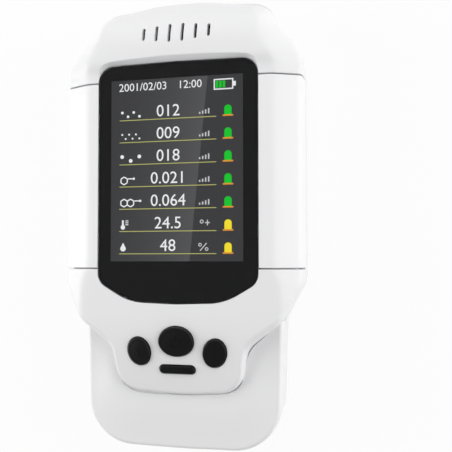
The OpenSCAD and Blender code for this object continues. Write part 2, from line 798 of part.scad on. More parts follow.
// Tube swept along a route of points, for a wire
function smooth(pts, t) =
    let (k = len(pts) - 1, i = min(floor(t * k), k - 1), f = t * k - i,
         p0 = pts[max(i - 1, 0)], p1 = pts[i], p2 = pts[i + 1], p3 = pts[min(i + 2, k)])
    0.5 * ((2 * p1) + (p2 - p0) * f + (2 * p0 - 5 * p1 + 4 * p2 - p3) * f * f
           + (3 * p1 - p0 - 3 * p2 + p3) * f * f * f);
module wire(pts, r, rings = 20, sides = 8) {
    ring = [for (i = [0:rings])
        let (c = smooth(pts, i / rings),
             d = unit(smooth(pts, min(1, i / rings + 0.01)) - smooth(pts, max(0, i / rings - 0.01))),
             u = unit(cross(d, [0.1, 0.2, 1])), v = cross(u, d))
        [for (k = [0:sides - 1]) c + r * (u * cos(k * 360 / sides) + v * sin(k * 360 / sides))]];
    n = (rings + 1) * sides;
    polyhedron(
        points = [for (q = ring) each q],
        faces = concat(
            [[for (k = [sides - 1:-1:0]) k]],
            [[for (k = [0:sides - 1]) n - sides + k]],
            [for (i = [0:rings - 1], k = [0:sides - 1])
                [i * sides + k, i * sides + (k + 1) % sides,
                 (i + 1) * sides + (k + 1) % sides, (i + 1) * sides + k]]));
}
plug_y = -head_y + 9;
wire_r = 0.55;
module battery_plug() {
    color([0.95, 0.95, 0.92]) block([4.6, plug_y - 2, charge_z + 1], [11, plug_y + 1.6, charge_z + 5]);
}
module battery_leads() {
    z = charge_z + charge_t + 2;
    x = cell_l / 2 + 0.6;
    y = cell_y - cell_r - 1.8;
    color([0.75, 0.1, 0.1]) wire([[x, cell_y, cell_z], [x, cell_y - 5, cell_z - 1], [x - 2, y, z + 3],
                                  [25, y - 0.4, z + 2], [17, y - 2, z + 2], [11.3, plug_y, z]], wire_r);
    color([0.1, 0.1, 0.1]) wire([[-x, cell_y, cell_z], [-x, cell_y - 5, cell_z - 1],
                                 [1 - x, y - 0.4, z + 4], [-25, y - 0.4, z + 5], [-10, y - 2, z + 5],
                                 [0, plug_y + 1, z + 3], [4.3, plug_y, z]], wire_r);
}
// Flat cables: a strip along a path in the side view
module strip(path, t, x0, x1) {
    k = len(path) - 1;
    normal = [for (i = [0:k]) let (d = unit(path[min(i + 1, k)] - path[max(i - 1, 0)])) [-d[1], d[0]]];
    translate([x0, 0, 0]) rotate([90, 0, 90]) linear_extrude(height = x1 - x0)
        polygon(concat(path, [for (i = [k:-1:0]) path[i] + normal[i] * t]));
}
module power_cable() {
    // from the charge board, over the cell, to the underside of the main board
    top = cell_z + cell_r + 0.5;
    color([0.85, 0.85, 0.85])
        strip([[charge_y[1] - 2.2, charge_z + 1], [charge_y[1] - 1.8, charge_z + 6],
               [cell_y - cell_r + 1, top - 1.2], [cell_y - 3, top], [cell_y + 4, top],
               [cell_y + cell_r, top - 0.8], [board_end_y - 3, board_z - 4],
               [board_end_y + 2, board_z - 3], [board_end_y + 4, board_z - 0.8]], 0.8, -4, 3);
}
function key_point(y, w) =
    [glass_end - key_drop + y * cos(key_tilt) - w * sin(key_tilt),
     fall(glass_end - key_drop) + y * sin(key_tilt) + w * cos(key_tilt)];
module key_cable() {
    start = key_point(8, key_board_w + 0.35);
    color([0.75, 0.45, 0.15])
        strip([[board_end_y + 4, board_z + board_t + 0.35], [board_end_y + 1.5, board_z + board_t + 0.6],
               [board_end_y - 1.5, start[1] - 0.6], start + [3.5, 0.9], start + [1.8, 0.4], start],
              0.25, -21, -13);
}

front_cover();
back_cover();
tail_cover();
left_side_panel();
right_side_panel();
display_window();
window_adhesive();
lcd_panel();
lcd_frame();
lcd_ribbon();
ribbon_connector();
power_key();
left_key();
right_key();
menu_key();
power_plunger();
left_plunger();
right_plunger();
menu_plunger();
key_switches();
key_board();
key_cable();
main_board();
board_chips();
buzzer();
board_screws();
case_screws();
pm_sensor_base();
pm_sensor_lid();
fan_motor();
fan_rotor();
laser_module();
detector_board();
inlet_seal();
dust_mesh();
hcho_sensor();
voc_sensor();
climate_sensor();
battery_cell();
battery_pads();
battery_leads();
battery_plug();
charge_board();
usb_socket();
power_cable();
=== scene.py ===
"""Handheld air quality monitor: the visible surfaces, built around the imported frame.

Lengths are worked out in millimetres from the frame's boxes and turned into metres when a mesh is made.
"""
import json
import math

import bmesh
import bpy
import numpy as np
from mathutils import Matrix, Vector


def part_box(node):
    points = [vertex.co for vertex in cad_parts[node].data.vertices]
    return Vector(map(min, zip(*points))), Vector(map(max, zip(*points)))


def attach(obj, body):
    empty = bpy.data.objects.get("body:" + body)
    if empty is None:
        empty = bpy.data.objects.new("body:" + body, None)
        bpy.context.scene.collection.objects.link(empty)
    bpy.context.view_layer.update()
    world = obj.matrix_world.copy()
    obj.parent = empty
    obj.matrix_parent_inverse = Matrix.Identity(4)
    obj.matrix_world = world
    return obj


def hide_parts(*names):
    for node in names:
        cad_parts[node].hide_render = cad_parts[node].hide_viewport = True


MM = 0.001
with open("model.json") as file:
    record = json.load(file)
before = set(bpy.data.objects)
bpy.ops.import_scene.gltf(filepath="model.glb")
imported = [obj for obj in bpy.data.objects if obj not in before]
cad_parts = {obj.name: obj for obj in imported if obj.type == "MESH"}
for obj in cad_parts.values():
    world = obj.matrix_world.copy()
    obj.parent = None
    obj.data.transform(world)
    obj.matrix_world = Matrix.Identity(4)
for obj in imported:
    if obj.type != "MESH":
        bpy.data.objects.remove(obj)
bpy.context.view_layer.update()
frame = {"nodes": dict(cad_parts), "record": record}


def box_mm(node):
    """A CAD node's lowest and highest corner, in millimetres."""
    low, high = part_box(node)
    return np.array(low) / MM, np.array(high) / MM


# ---- Sizes read from the frame ----
HALF_W = box_mm("right_side_panel")[1][0]
HEAD_Y = box_mm("front_cover")[1][1]
APRON_END, SEAM_Z = box_mm("front_cover")[0][1:]
GLASS_LOW, GLASS_HIGH = box_mm("display_window")
GLASS_TOP, GLASS_END = GLASS_HIGH[1], GLASS_LOW[1]
GLASS_HALF = GLASS_HIGH[0]
FACE_Z = GLASS_HIGH[2]
GLASS_T = GLASS_HIGH[2] - GLASS_LOW[2]
LOWER_SEAM, UPPER_SEAM = box_mm("right_side_panel")[0][1], box_mm("right_side_panel")[1][1]
TAIL_HALF = box_mm("tail_cover")[1][0]
TAIL_EDGE = TAIL_HALF + 0.5     # the skin's outline stands a little outside the plain lid's
TAIL_Z = box_mm("tail_cover")[1][2]
BACK_TOP = SEAM_Z - 0.2

# ---- Sizes of the surfaces ----
WALL = 2.0
SEAM = 0.5              # width of the cross seams
PANEL_T = 1.7
FACET_W = 10.0          # width of the facet along a side panel
FACET_SLOPE = 0.5
NECK_SLOPE = 1.2        # the facet's slope at the head's neck
CREASE_SOFT = 0.8       # how softly the facet leaves the face
BROW_FALL = 0.6         # how far the brow falls towards the sides
NECK_HALF = 34.6
HEAD_HALF = 31.8
APRON_HALF = 22.3
TAIL_R = 17.0
APRON_DROP = 4.5
KEY_TILT = math.radians(11)
KEY_LEAN = math.radians(12)
KEY_GAP = 0.2
KEY_H = 1.0
KEY_FOOT = -3.0
KEY_POINTS = 96
KEY_DOME = 0.45
KEY_TIP = math.radians(5)
KEY_DROP = 16.8         # from the window's end to the side keys
KEY_DISH = 0.14         # how far the top lies below its lip
MARK_H = 0.12
MARK_W = 0.5
BEVEL_SLOPE = 0.8
HEAD_BEVEL = 1.3        # slope of the head's bevel, which starts below the glass
BEVEL_DEPTH = 0.85
POCKET_GAP = 0.15
TAIL_RISE = 1.1
GUTTER = 0.3            # dark gap along the apron's edge, on the tail
GUTTER_LEFT = 0.5       # what the gap gains on the apron's left
GUTTER_DEPTH = 0.8
TAIL_UNDER = 2.6        # how far the tail runs in under the apron
BACK_R = 5.0
BACK_DRAFT = 0.10       # how far the back's sides lean in, per millimetre of depth
WELL_R = 2.7
WELL_DEPTH = 9.0
SLOT_COUNT, SLOT_PITCH, SLOT_W, SLOT_L = 6, 4.85, 1.2, 7.0
SLOT_STEP = 1.1         # what a vent slot loses in length at each step towards the sides
SLOT_Y = HEAD_Y - 13.9
SHOULDER_Y = HEAD_Y - 21.9
NECK_Y = HEAD_Y - 10
WAIST_Y = GLASS_END - 5.9
SCREWS = [(HALF_W - 8.2, HEAD_Y - 23.5), (TAIL_HALF - 4.5, GLASS_END - 1.3), (TAIL_HALF - 10.7, -HEAD_Y + 10)]
GRILLES = [(-13.0, HEAD_Y - 29, 2.6, 1.2), (0.0, GLASS_END + 43, 4.0, 1.4)]
GRILLE_L = 14.0

# ---- Keys: place in the key plane, size, lean, body ----
KEYS = {
    "power_key": ((0, 3.8), (12.8, 10.6), 0.0, "power_key"),
    "left_key": ((-13.95, 0), (8.3, 10.2), KEY_LEAN, "left_key"),
    "right_key": ((13.95, 0), (8.3, 10.2), -KEY_LEAN, "right_key"),
    "menu_key": ((0, -6.35), (12.9, 2.9), 0.0, "menu_key"),
}

# ---- Display ----
SCREEN = (49.2, 65.6)   # lit area of the display
SCREEN_X = -0.4
SCREEN_Y = (box_mm("lcd_panel")[0][1] + box_mm("lcd_panel")[1][1]) / 2 + 1.25
INK_Z = box_mm("lcd_panel")[1][2] + 0.01
INK_T = 0.05
DOT_STEP = 0.2          # from one dot of the display to the next
INK_LINE = 0.42         # width of the battery sign's and the ring signs' lines
DIGIT_RISE = 0.69       # height of the font's digits at size one
DIGIT_WIDTH = 1.0
ROW_TOP, ROW_PITCH = 36.8, 8.05
ROW_LEFT, ROW_RIGHT = -21.8, 14.5
VALUE_X, VALUE_H = -3.3, 4.15
VALUES = ("012", "009", "018", "0.021", "0.064", "24.5", "48")
LAMP_X = 18.75
BATTERY_X, BATTERY_Y = (13.6, 21.6), (46.15, 50.0)
# Painted reflection: the display's own light is lighter to the left of a slanting line between these two
# points, standing in for glare on the glass
PAINTED_SHEEN_TOP, PAINTED_SHEEN_END = (11.4, 51.0), (4.8, -14.4)
PAINTED_SHEEN_EDGE, PAINTED_SHEEN_REACH = 0.25, 42     # width of the painted sheen's edge, and how far left it fades out

# ---- Colours, camera and light ----
SHELL_WHITE = (0.80, 0.80, 0.805)
PANEL_WHITE = (0.84, 0.84, 0.845)
THREAD = 0.45           # spacing of the dust mesh's threads
LENS, SENSOR = 58.22, 36
CAMERA_AT = (0.08048, -0.01298, 0.27941)
CAMERA_RIGHT = (0.96933, -0.00107, -0.24576)
CAMERA_UP = (0.01172, 0.99905, 0.04186)
CAMERA_BACK = (0.24548, -0.04346, 0.96843)
SKY_LOW, SKY_HIGH = (0.66, 0.66, 0.665, 1.0), (0.34, 0.34, 0.343, 1.0)
SKY_FROM, SKY_TO = 0.15, 0.8            # heights between which the sky dims
FLOOR_WHITE = 0.92
FLOOR_HALF, FLOOR_Z = 4.0, -0.0002
LIGHTS = [              # name, place, size, watts
    ("left_box", (-0.8, 0.0, 0.34), (0.5, 0.9), 5.3),
    ("right_box", (0.8, 0.05, 0.34), (0.5, 0.9), 4.7),
    ("head_box", (0.0, 0.6, 0.42), (0.8, 0.4), 1.6),
]


def unit(v):
    """Each vector divided by its length."""
    return v / np.linalg.norm(v, axis=-1, keepdims=True)


def inset(points, d):
    """Corner points of an anticlockwise outline, each edge moved inwards by d and each radius to match."""
    p, r = points[:, :2], points[:, 2]
    e0 = unit(p - np.roll(p, 1, 0))
    e1 = unit(np.roll(p, -1, 0) - p)
    n0 = np.stack([-e0[:, 1], e0[:, 0]], 1)
    n1 = np.stack([-e1[:, 1], e1[:, 0]], 1)
    q = p + d * (n0 + n1) / (1 + (n0 * n1).sum(1, keepdims=True))
    bend = np.where(e0[:, 0] * e1[:, 1] - e0[:, 1] * e1[:, 0] > 0, -1, 1)
    return np.column_stack([q, np.maximum(r + bend * d, 0.02)])


def rounded(points, n_arc=14, n_edge=16):
    """Closed outline through corner points [x, y, radius]: an arc at each corner, points along each edge.

    Every inset of one outline comes back with the same number of points, so that insets can be lofted.
    """
    p, r = points[:, :2], points[:, 2:3]
    u = unit(np.roll(p, 1, 0) - p)
    v = unit(np.roll(p, -1, 0) - p)
    half = np.arccos(np.clip((u * v).sum(1, keepdims=True), -1, 1)) / 2
    centre = p + unit(u + v + 1e-12) * r / np.sin(half)
    start = p + u * r / np.tan(half) - centre
    end = p + v * r / np.tan(half) - centre
    a0 = np.arctan2(start[:, 1], start[:, 0])
    sweep = (np.arctan2(end[:, 1], end[:, 0]) - a0 + math.pi) % (2 * math.pi) - math.pi
    t = np.linspace(0, 1, n_arc + 1)
    a = a0[:, None] + sweep[:, None] * t
    arcs = centre[:, None, :] + r[:, None, :] * np.stack([np.cos(a), np.sin(a)], -1)
    t = np.linspace(0, 1, n_edge + 1)[1:-1, None]
    edges = arcs[:, -1:, :] * (1 - t) + np.roll(arcs, -1, 0)[:, :1, :] * t
    return np.concatenate([arcs, edges], 1).reshape(-1, 2)


def along_line(line, shares):
    """Points at given shares of an open line's length."""
    s = np.concatenate([[0], np.cumsum(np.linalg.norm(np.diff(line, axis=0), axis=1))])
    return np.stack([np.interp(shares * s[-1], s, line[:, k]) for k in range(line.shape[1])], 1)


def smooth_step(x):
    """From 0 at 0 to 1 at 1, by a cubic that is level at both ends."""
    t = np.clip(x, 0, 1)
    return t * t * (3 - 2 * t)


def soft_plus(x, k):
    """max(x, 0) with its corner rounded over about k."""
    return k * np.logaddexp(0, x / k)


def soft_min(a, b, k):
    """min(a, b) with its corner rounded over about k."""
    return a - soft_plus(a - b, k)


def steady(value):
    """A function of an edge point that has the same value all along the edge."""
    return lambda x, y: np.full_like(x, value)


def at_height(outline, z):
    """A flat outline's points, all at one height."""
    return np.column_stack([outline, np.full(len(outline), z)])


def disc(x, y, r, count=40):
    """Outline of a circle, as evenly spaced points."""
    a = np.linspace(0, 2 * math.pi, count + 1)[:-1]
    return np.stack([x + r * np.cos(a), y + r * np.sin(a)], 1)


def round_slot(width, length, count):
    """Outline of an upright slot with round ends."""
    a = np.linspace(0, math.pi, count)
    r = width / 2
    end = np.stack([r * np.cos(a), r * np.sin(a) + length / 2 - r], 1)
    return np.concatenate([end, -end])


# ---- Outlines, as half outlines from the lower middle to the upper middle ----
def mirrored(half):
    """The half outline's corners, then their mirror images from the top back down."""
    half = np.array(half, float)
    other = half[::-1][half[::-1][:, 0] > 0.01] * [-1, 1, 1]
    return np.concatenate([half, other])


UPPER_CORNERS = [
    (HALF_W, GLASS_END + 7.5, 10),
    (HALF_W, SHOULDER_Y, 15),
    (NECK_HALF, NECK_Y, 4),
    (HEAD_HALF, HEAD_Y - 2.1, 9),
    (0, HEAD_Y + 0.3, 120),
]
TAIL_CORNERS = [(0, -HEAD_Y, 200), (TAIL_EDGE - 1.6, -HEAD_Y + 0.6, TAIL_R)]
BODY = mirrored([
    (0, APRON_END, 100),
    (APRON_HALF, APRON_END + 1.3, 9),
    (APRON_HALF + 2.6, GLASS_END - 15.6, 7),
    (TAIL_EDGE, WAIST_Y, 14),
] + UPPER_CORNERS)
BACK = mirrored(TAIL_CORNERS + [(TAIL_EDGE, WAIST_Y, 5)] + UPPER_CORNERS)
TAIL = mirrored(TAIL_CORNERS + [
    (TAIL_EDGE, GLASS_END - 4, 3),
    (TAIL_EDGE - 1, GLASS_END, 3),
    (0, GLASS_END, 0),
])
GLASS = mirrored([
    (0, GLASS_END, 60),
    (GLASS_HALF - 12.2, GLASS_END + 0.6, 22),
    (GLASS_HALF - 0.1, GLASS_END + 7.7, 5.5),
    (GLASS_HALF, GLASS_TOP - 0.5, 6),
    (0, GLASS_TOP, 400),
])


# ---- Meshes ----
def grid_faces(rows, columns, wrap_rows=False, wrap_columns=False):
    """Quads between the points of a grid that is stored row by row."""
    r = np.arange(rows if wrap_rows else rows - 1)
    c = np.arange(columns if wrap_columns else columns - 1)
    r, c = np.meshgrid(r, c, indexing="ij")
    r1, c1 = (r + 1) % rows, (c + 1) % columns
    quads = np.stack([r * columns + c, r * columns + c1, r1 * columns + c1, r1 * columns + c], -1)
    return quads.reshape(-1, 4).tolist()


def tube(sections):
    """Closed solid from an array [station, point, xyz]: a closed section along stations, with flat ends."""
    rows, count = sections.shape[:2]
    faces = grid_faces(rows, count, wrap_columns=True)
    faces.append(list(range(count))[::-1])
    faces.append([(rows - 1) * count + k for k in range(count)])
    return sections.reshape(-1, 3), faces


def stack(rings):
    """Closed solid from an array [level, point, xyz] of rings; the first and last each close in a point."""
    levels, count = rings.shape[:2]
    points = np.concatenate([rings[0].mean(0)[None], rings[1:-1].reshape(-1, 3), rings[-1].mean(0)[None]])
    faces = (np.array(grid_faces(levels - 2, count, wrap_columns=True)) + 1).tolist()
    ring = np.arange(count)
    following = (ring + 1) % count
    last = len(points) - 1
    first_ring, last_ring = 1, 1 + (levels - 3) * count
    faces += np.stack([np.zeros_like(ring), first_ring + following, first_ring + ring], 1).tolist()
    faces += np.stack([np.full_like(ring, last), last_ring + ring, last_ring + following], 1).tolist()
    return points, faces


def prism(outline, low, high):
    """Closed solid: a flat outline carried from one height to another."""
    return tube(np.stack([at_height(outline, z) for z in (low, high)]))


def box(low, high):
    """Closed block between two corners."""
    corners = np.array([(low[0], low[1]), (high[0], low[1]), (high[0], high[1]), (low[0], high[1])])
    return prism(corners, low[2], high[2])


def add_object(name, data):
    thing = bpy.data.objects.new(name, data)
    bpy.context.scene.collection.objects.link(thing)
    return thing


def make_mesh(name, solids, material, smooth=35):
    """One object from closed solids given as (points in millimetres, faces), with its normals outwards."""
    points, faces, start = [], [], 0
    for p, f in solids:
        points.append(p)
        faces += [[k + start for k in face] for face in f]
        start += len(p)
    mesh = bpy.data.meshes.new(name)
    mesh.from_pydata((np.concatenate(points) * MM).tolist(), [], faces)
    bm = bmesh.new()
    bm.from_mesh(mesh)
    bmesh.ops.remove_doubles(bm, verts=bm.verts, dist=1e-7)
    bmesh.ops.recalc_face_normals(bm, faces=bm.faces)
    bm.to_mesh(mesh)
    bm.free()
    piece = add_object(name, mesh)
    if material:
        mesh.materials.append(material)
    shade(mesh, smooth)
    return piece


def shade(mesh, angle):
    """Smooth shading, kept sharp at edges that turn by more than an angle in degrees."""
    mesh.shade_smooth()
    mesh.set_sharp_from_angle(angle=math.radians(angle))


def bake_mesh(piece):
    """Replaces the piece's mesh by what its modifiers make of it."""
    graph = bpy.context.evaluated_depsgraph_get()
    mesh = bpy.data.meshes.new_from_object(piece.evaluated_get(graph))
    piece.modifiers.clear()
    piece.data = mesh
    return piece


def cut(piece, solids, smooth=35):
    """Cuts solids out of a piece, all at once."""
    cutter = make_mesh("cutter", solids, None)
    modifier = piece.modifiers.new("cut", "BOOLEAN")
    modifier.operation = "DIFFERENCE"
    modifier.solver = "EXACT"
    modifier.object = cutter
    bake_mesh(piece)
    bpy.data.objects.remove(cutter)
    shade(piece.data, smooth)
    return piece


def join(name, pieces, smooth=35):
    """Joins the meshes of several pieces under one name."""
    bm = bmesh.new()
    for piece in pieces:
        bm.from_mesh(piece.data)
    mesh = pieces[0].data
    bm.to_mesh(mesh)
    bm.free()
    for piece in pieces[1:]:
        bpy.data.objects.remove(piece)
    pieces[0].name = name
    mesh.name = name
    shade(mesh, smooth)
    return pieces[0]


def finish_piece(piece, body, slot, *nodes):
    """The piece moves with its body and stands for some nodes, which it hides. Its slot is not used."""
    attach(piece, body)
    if nodes:
        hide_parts(*nodes)
    return piece


# ---- Covers ----
HEAD_PROFILE = [        # distance above the glass, height above the window's face
    (-6.5, 0), (-3, 0.3), (0, 1.3), (3.5, 1.5), (7, 1.35), (13, -0.2), (19.4, -3.6), (22.6, -6.6),
    (HEAD_Y - GLASS_TOP, -9.0),
]
FALL_Y = GLASS_END - 2.2    # where the apron starts to fall


def curve_through(knots, x):
    """Smooth height through knots [x, height]: a cubic between each two, sloped as its neighbours are."""
    k = np.array(knots, float)
    slope = np.gradient(k[:, 1], k[:, 0])
    x = np.clip(x, k[0, 0], k[-1, 0])
    i = np.clip(np.searchsorted(k[:, 0], x) - 1, 0, len(k) - 2)
    h = k[i + 1, 0] - k[i, 0]
    t = (x - k[i, 0]) / h
    return ((2 * t**3 - 3 * t**2 + 1) * k[i, 1] + (t**3 - 2 * t**2 + t) * h * slope[i]
            + (3 * t**2 - 2 * t**3) * k[i + 1, 1] + (t**3 - t**2) * h * slope[i + 1])


def face_height(x, y):
    """Height of the front face before its facets: the brow above the glass, the apron's fall below it."""
    above = y - GLASS_TOP
    brow = curve_through(HEAD_PROFILE, above) - BROW_FALL * (x / NECK_HALF)**2 * smooth_step(above / 8)
    fall = -APRON_DROP * (np.maximum(FALL_Y - y, 0) / (FALL_Y - APRON_END))**2
    return FACE_Z + np.where(y > 0, brow, fall)


def facet_width(x, y):
    """Width of the facet from an edge point: full along the sides, none at the head's top and the apron."""
    head = np.interp(y, [UPPER_SEAM, SHOULDER_Y, NECK_Y, HEAD_Y - 2.3], [FACET_W, 9.6, 6.5, 5.0])
    apron = FACET_W * smooth_step((y - GLASS_END + 10) / (LOWER_SEAM - GLASS_END + 12))
    return np.where(y > 0, head * smooth_step((np.abs(x) - 4) / 26), apron)


def cover_height(x, y, d, e, width):
    """Height of the covers' outer face at a distance d from the edge and e from the glass.

    The face less the facet, which falls evenly over its width, and never above a bevel from the glass.
    """
    slope = np.interp(y, [UPPER_SEAM + 2, NECK_Y], [FACET_SLOPE, NECK_SLOPE])
    facet = slope * soft_plus(width - d, CREASE_SOFT) * smooth_step(width / 2)
    deep = smooth_step((y - UPPER_SEAM) / 5)
    bevel = (BEVEL_SLOPE + (HEAD_BEVEL - BEVEL_SLOPE) * deep) * e - BEVEL_DEPTH * deep
    return soft_min(face_height(x, y) - facet, FACE_Z + bevel, 0.06)


def stations(length, count, end_r):
    """Shares of a length, evenly spaced and closer together where the ends are rounded."""
    near = end_r * np.array([0, 0.08, 0.25, 0.5, 0.8, 1.0]) / length
    return np.concatenate([near, np.linspace(near[-1], 1 - near[-1], count)[1:-1], (1 - near)[::-1]])


def cover_shell(outer, inner, low, edge_r, wall, pocket, end_r=0.25, count=200, height=cover_height):
    """Closed shell between an open outer line and an open inner line.

    The section at each station runs up the side, round the edge, over the face to the inner line, down
    into the pocket and back under the face at the wall's thickness. low and edge_r are functions of an
    edge point.
    """
    length = np.linalg.norm(np.diff(outer, axis=0), axis=1).sum()
    share = stations(length, count, end_r)
    a, b = along_line(outer, share), along_line(inner, share)
    run = np.linalg.norm(b - a, axis=1)
    across = (b - a) / run[:, None]
    x, y = a[:, 0], a[:, 1]
    radius, rim, width = edge_r(x, y), low(x, y), facet_width(x, y)
    to_end = length * np.minimum(share, 1 - share)
    drop = end_r - np.sqrt(np.maximum(end_r**2 - np.maximum(end_r - to_end, 0)**2, 0))

    def face(d):
        p = a[:, None] + across[:, None] * d[..., None]
        return height(p[..., 0], p[..., 1], d, run[:, None] - d, width[:, None])

    zero = np.zeros((len(a), 1))
    turn = np.linspace(0, math.pi / 2, 9)[None]
    arc_d = radius[:, None] * (1 - np.cos(turn))
    arc_z = face(arc_d) - radius[:, None] * (1 - np.sin(turn))
    top_d = radius[:, None] + (run - radius)[:, None] * (1 - np.linspace(1, 0, 61)[None, 1:]**1.5)
    side_z = rim[:, None] + (arc_z[:, :1] - rim[:, None]) * np.linspace(0, 1, 5)[None, :-1]
    back_d = wall + (run - wall)[:, None] * np.linspace(1, 0, 14)[None]
    back_z = face(back_d) - wall
    back_z[:, 0] = np.minimum(back_z[:, 0], face(run[:, None])[:, 0] - pocket)
    d = np.concatenate([zero + drop[:, None] + 0 * side_z, arc_d + drop[:, None] * np.cos(turn), top_d,
                        back_d, zero + wall], 1)
    z = np.concatenate([side_z, arc_z - drop[:, None] * np.sin(turn), face(top_d) - drop[:, None],
                        back_z, rim[:, None]], 1)
    xy = a[:, None] + across[:, None] * d[..., None]
    return tube(np.concatenate([xy, z[..., None]], -1))


def part_of(outline, low=None, high=None):
    """The stretch of a closed outline above the height low, or below the height high, as an open line."""
    closed = along_line(np.concatenate([outline, outline[:1]]), np.linspace(0, 1, 6001)[:-1])
    keep = closed[:, 1] > low if low is not None else closed[:, 1] < high
    start = np.flatnonzero(keep & ~np.roll(keep, 1))[0]
    line = np.roll(closed, -start, 0)[:keep.sum()]
    line[[0, -1], 1] = low if low is not None else high
    return line


def head_shell():
    """The shell between the body's outline and the glass above the upper seam, less the vent slots."""
    y = UPPER_SEAM + SEAM / 2
    shell = cover_shell(
        part_of(rounded(BODY), low=y), part_of(rounded(inset(GLASS, -POCKET_GAP)), low=y),
        low=steady(SEAM_Z), wall=WALL, pocket=GLASS_T + 0.3, count=260,
        edge_r=lambda x, y: np.interp(y, [GLASS_TOP, HEAD_Y - 9], [1.6, 2.6]))
    piece = make_mesh("front_cover_head", [shell], None)
    return cut(piece, [vent_slot(i) for i in range(SLOT_COUNT)])


def vent_slot(i):
    """Cutter of one vent slot. The slots shorten towards the sides."""
    place_in_row = i - (SLOT_COUNT - 1) / 2
    outline = round_slot(SLOT_W, SLOT_L - (abs(place_in_row) - 0.5) * SLOT_STEP, 10)
    return prism(outline + [place_in_row * SLOT_PITCH, SLOT_Y], FACE_Z - 12, FACE_Z + 5)


def apron_shell():
    """The shell between the body's outline and the glass below the lower seam, less the key holes.

    Its rim lies on the seam with the back, and just below the tail's face where it lies over the tail.
    """
    y = LOWER_SEAM - SEAM / 2
    over_tail = GLASS_END - 5.6
    turns = [APRON_END, GLASS_END - 22, GLASS_END - 12, GLASS_END - 5, LOWER_SEAM]
    shell = cover_shell(
        part_of(rounded(BODY), high=y), part_of(rounded(inset(GLASS, -POCKET_GAP)), high=y),
        low=lambda x, y: np.where(y > over_tail, SEAM_Z, TAIL_Z - 1.2),
        edge_r=lambda x, y: np.interp(y, turns, [1.1, 2.6, 2.6, 1.6, 1.6]),
        wall=WALL, pocket=GLASS_T + 0.3, count=320)
    piece = make_mesh("front_cover_apron", [shell], None)
    return cut(piece, [key_hole(*key) for key in KEYS.values()])


def bridge(side):
    """Strip of the front cover that runs on below a side panel and closes the two seams."""
    outer, inner = panel_lines(side, LOWER_SEAM - 2.5, UPPER_SEAM + 2.5, PANEL_T + 0.32)
    shell = cover_shell(
        outer, inner, low=steady(SEAM_Z + 0.3), edge_r=steady(0.8), wall=1.3, pocket=1.3, count=12,
        height=lambda x, y, d, e, width: cover_height(x, y, d + PANEL_T, e, width) - PANEL_T - 1.0)
    return make_mesh("bridge", [shell], None)


def front_cover(material):
    """Head, apron and the strips below the two side panels, as one piece."""
    piece = join("front_cover_shell", [head_shell(), apron_shell(), bridge(-1), bridge(1)])
    piece.data.materials.append(material)
    return finish_piece(piece, "case", "shell_white", "front_cover")


def panel_lines(side, low, high, depth):
    """Outer and inner line of what lies between two heights along a side, a depth in from the side."""
    y = np.array([low, high]) if side > 0 else np.array([high, low])
    return tuple(np.column_stack([[side * x] * 2, y]) for x in (HALF_W - depth, GLASS_HALF + POCKET_GAP))


def side_panel(side, name, node, material):
    """The shell between one side and the glass, from seam to seam."""
    outer, inner = panel_lines(side, LOWER_SEAM + SEAM / 2, UPPER_SEAM - SEAM / 2, 0)
    shell = cover_shell(
        outer, inner, low=steady(SEAM_Z), edge_r=steady(1.6), wall=PANEL_T, pocket=GLASS_T, count=24)
    piece = make_mesh(name, [shell], material)
    return finish_piece(piece, "case", "panel_white", node)


def tail_height(x, y, d, e, width):
    """Height of the tail's face: level at its edge, rising a little to a gutter along the apron's edge."""
    past = e - TAIL_UNDER - GUTTER - GUTTER_LEFT * smooth_step(-x / 12)
    gutter = GUTTER_DEPTH * (1 - smooth_step(past / 0.15))
    return TAIL_Z - 0.35 + TAIL_RISE * smooth_step(d / 16) - 0.25 * (x / TAIL_HALF)**2 - gutter


def tail_cover(material):
    """The shell between the tail's outline and the apron's, which it runs in under."""
    y = GLASS_END - 5.7
    outer = part_of(rounded(TAIL), high=y)
    inner = part_of(rounded(inset(BODY, TAIL_UNDER)), high=y - 1.4)
    shell = cover_shell(
        outer, inner, low=steady(SEAM_Z), edge_r=steady(1.4), wall=WALL, pocket=1.6, end_r=0.1, count=260,
        height=tail_height)
    piece = make_mesh("tail_cover_lid", [shell], material)
    return finish_piece(piece, "case", "shell_white", "tail_cover")


def back_cover(material):
    """The back half: insets of its outline, down from the seam and round the back's edge to the middle,
    then back up inside at the wall's thickness."""
    turn = np.linspace(0, math.pi / 2, 11)
    side = [(z, BACK_DRAFT * (SEAM_Z - z)) for z in (BACK_TOP - 0.15, 18, 14, 10, BACK_R + 1)]
    foot = BACK_DRAFT * (SEAM_Z - BACK_R)
    levels = [(BACK_TOP, 0.15)] + side
    levels += [(BACK_R * (1 - math.sin(a)), foot + BACK_R * (1 - math.cos(a))) for a in turn]
    inner_levels = [(BACK_TOP, 0)] + side[1:] + [(WALL + 1.5, foot + 1.4), (WALL, foot + 4)]
    outer = [at_height(rounded(inset(BACK, d)), z) for z, d in levels]
    inner = [at_height(rounded(inset(BACK, d + WALL)), z) for z, d in inner_levels]
    shrink = np.array([0.75, 0.5, 0.25, 0])[:, None, None]
    outer_floor = outer[-1][None] * ([1, 1, 0] * shrink + [0, 0, 1])
    inner_floor = inner[-1][None] * ([1, 1, 0] * shrink + [0, 0, 1])
    rings = np.concatenate([inner_floor[::-1], np.array(inner)[::-1], np.array(outer), outer_floor])
    piece = make_mesh("back_cover_shell", [stack(rings)], material)
    cut(piece, screw_wells() + back_grilles() + [usb_mouth()])
    return finish_piece(piece, "case", "shell_white", "back_cover")


def screw_wells():
    """Wells of the six case screws, each with a small chamfer at its mouth."""
    profile = [(-1, WELL_R + 1.0), (-0.01, WELL_R + 0.5), (0.5, WELL_R), (WELL_DEPTH, WELL_R)]
    return [tube(np.array([at_height(disc(side * x, y, r), z) for z, r in profile]))
            for x, y in SCREWS for side in (-1, 1)]


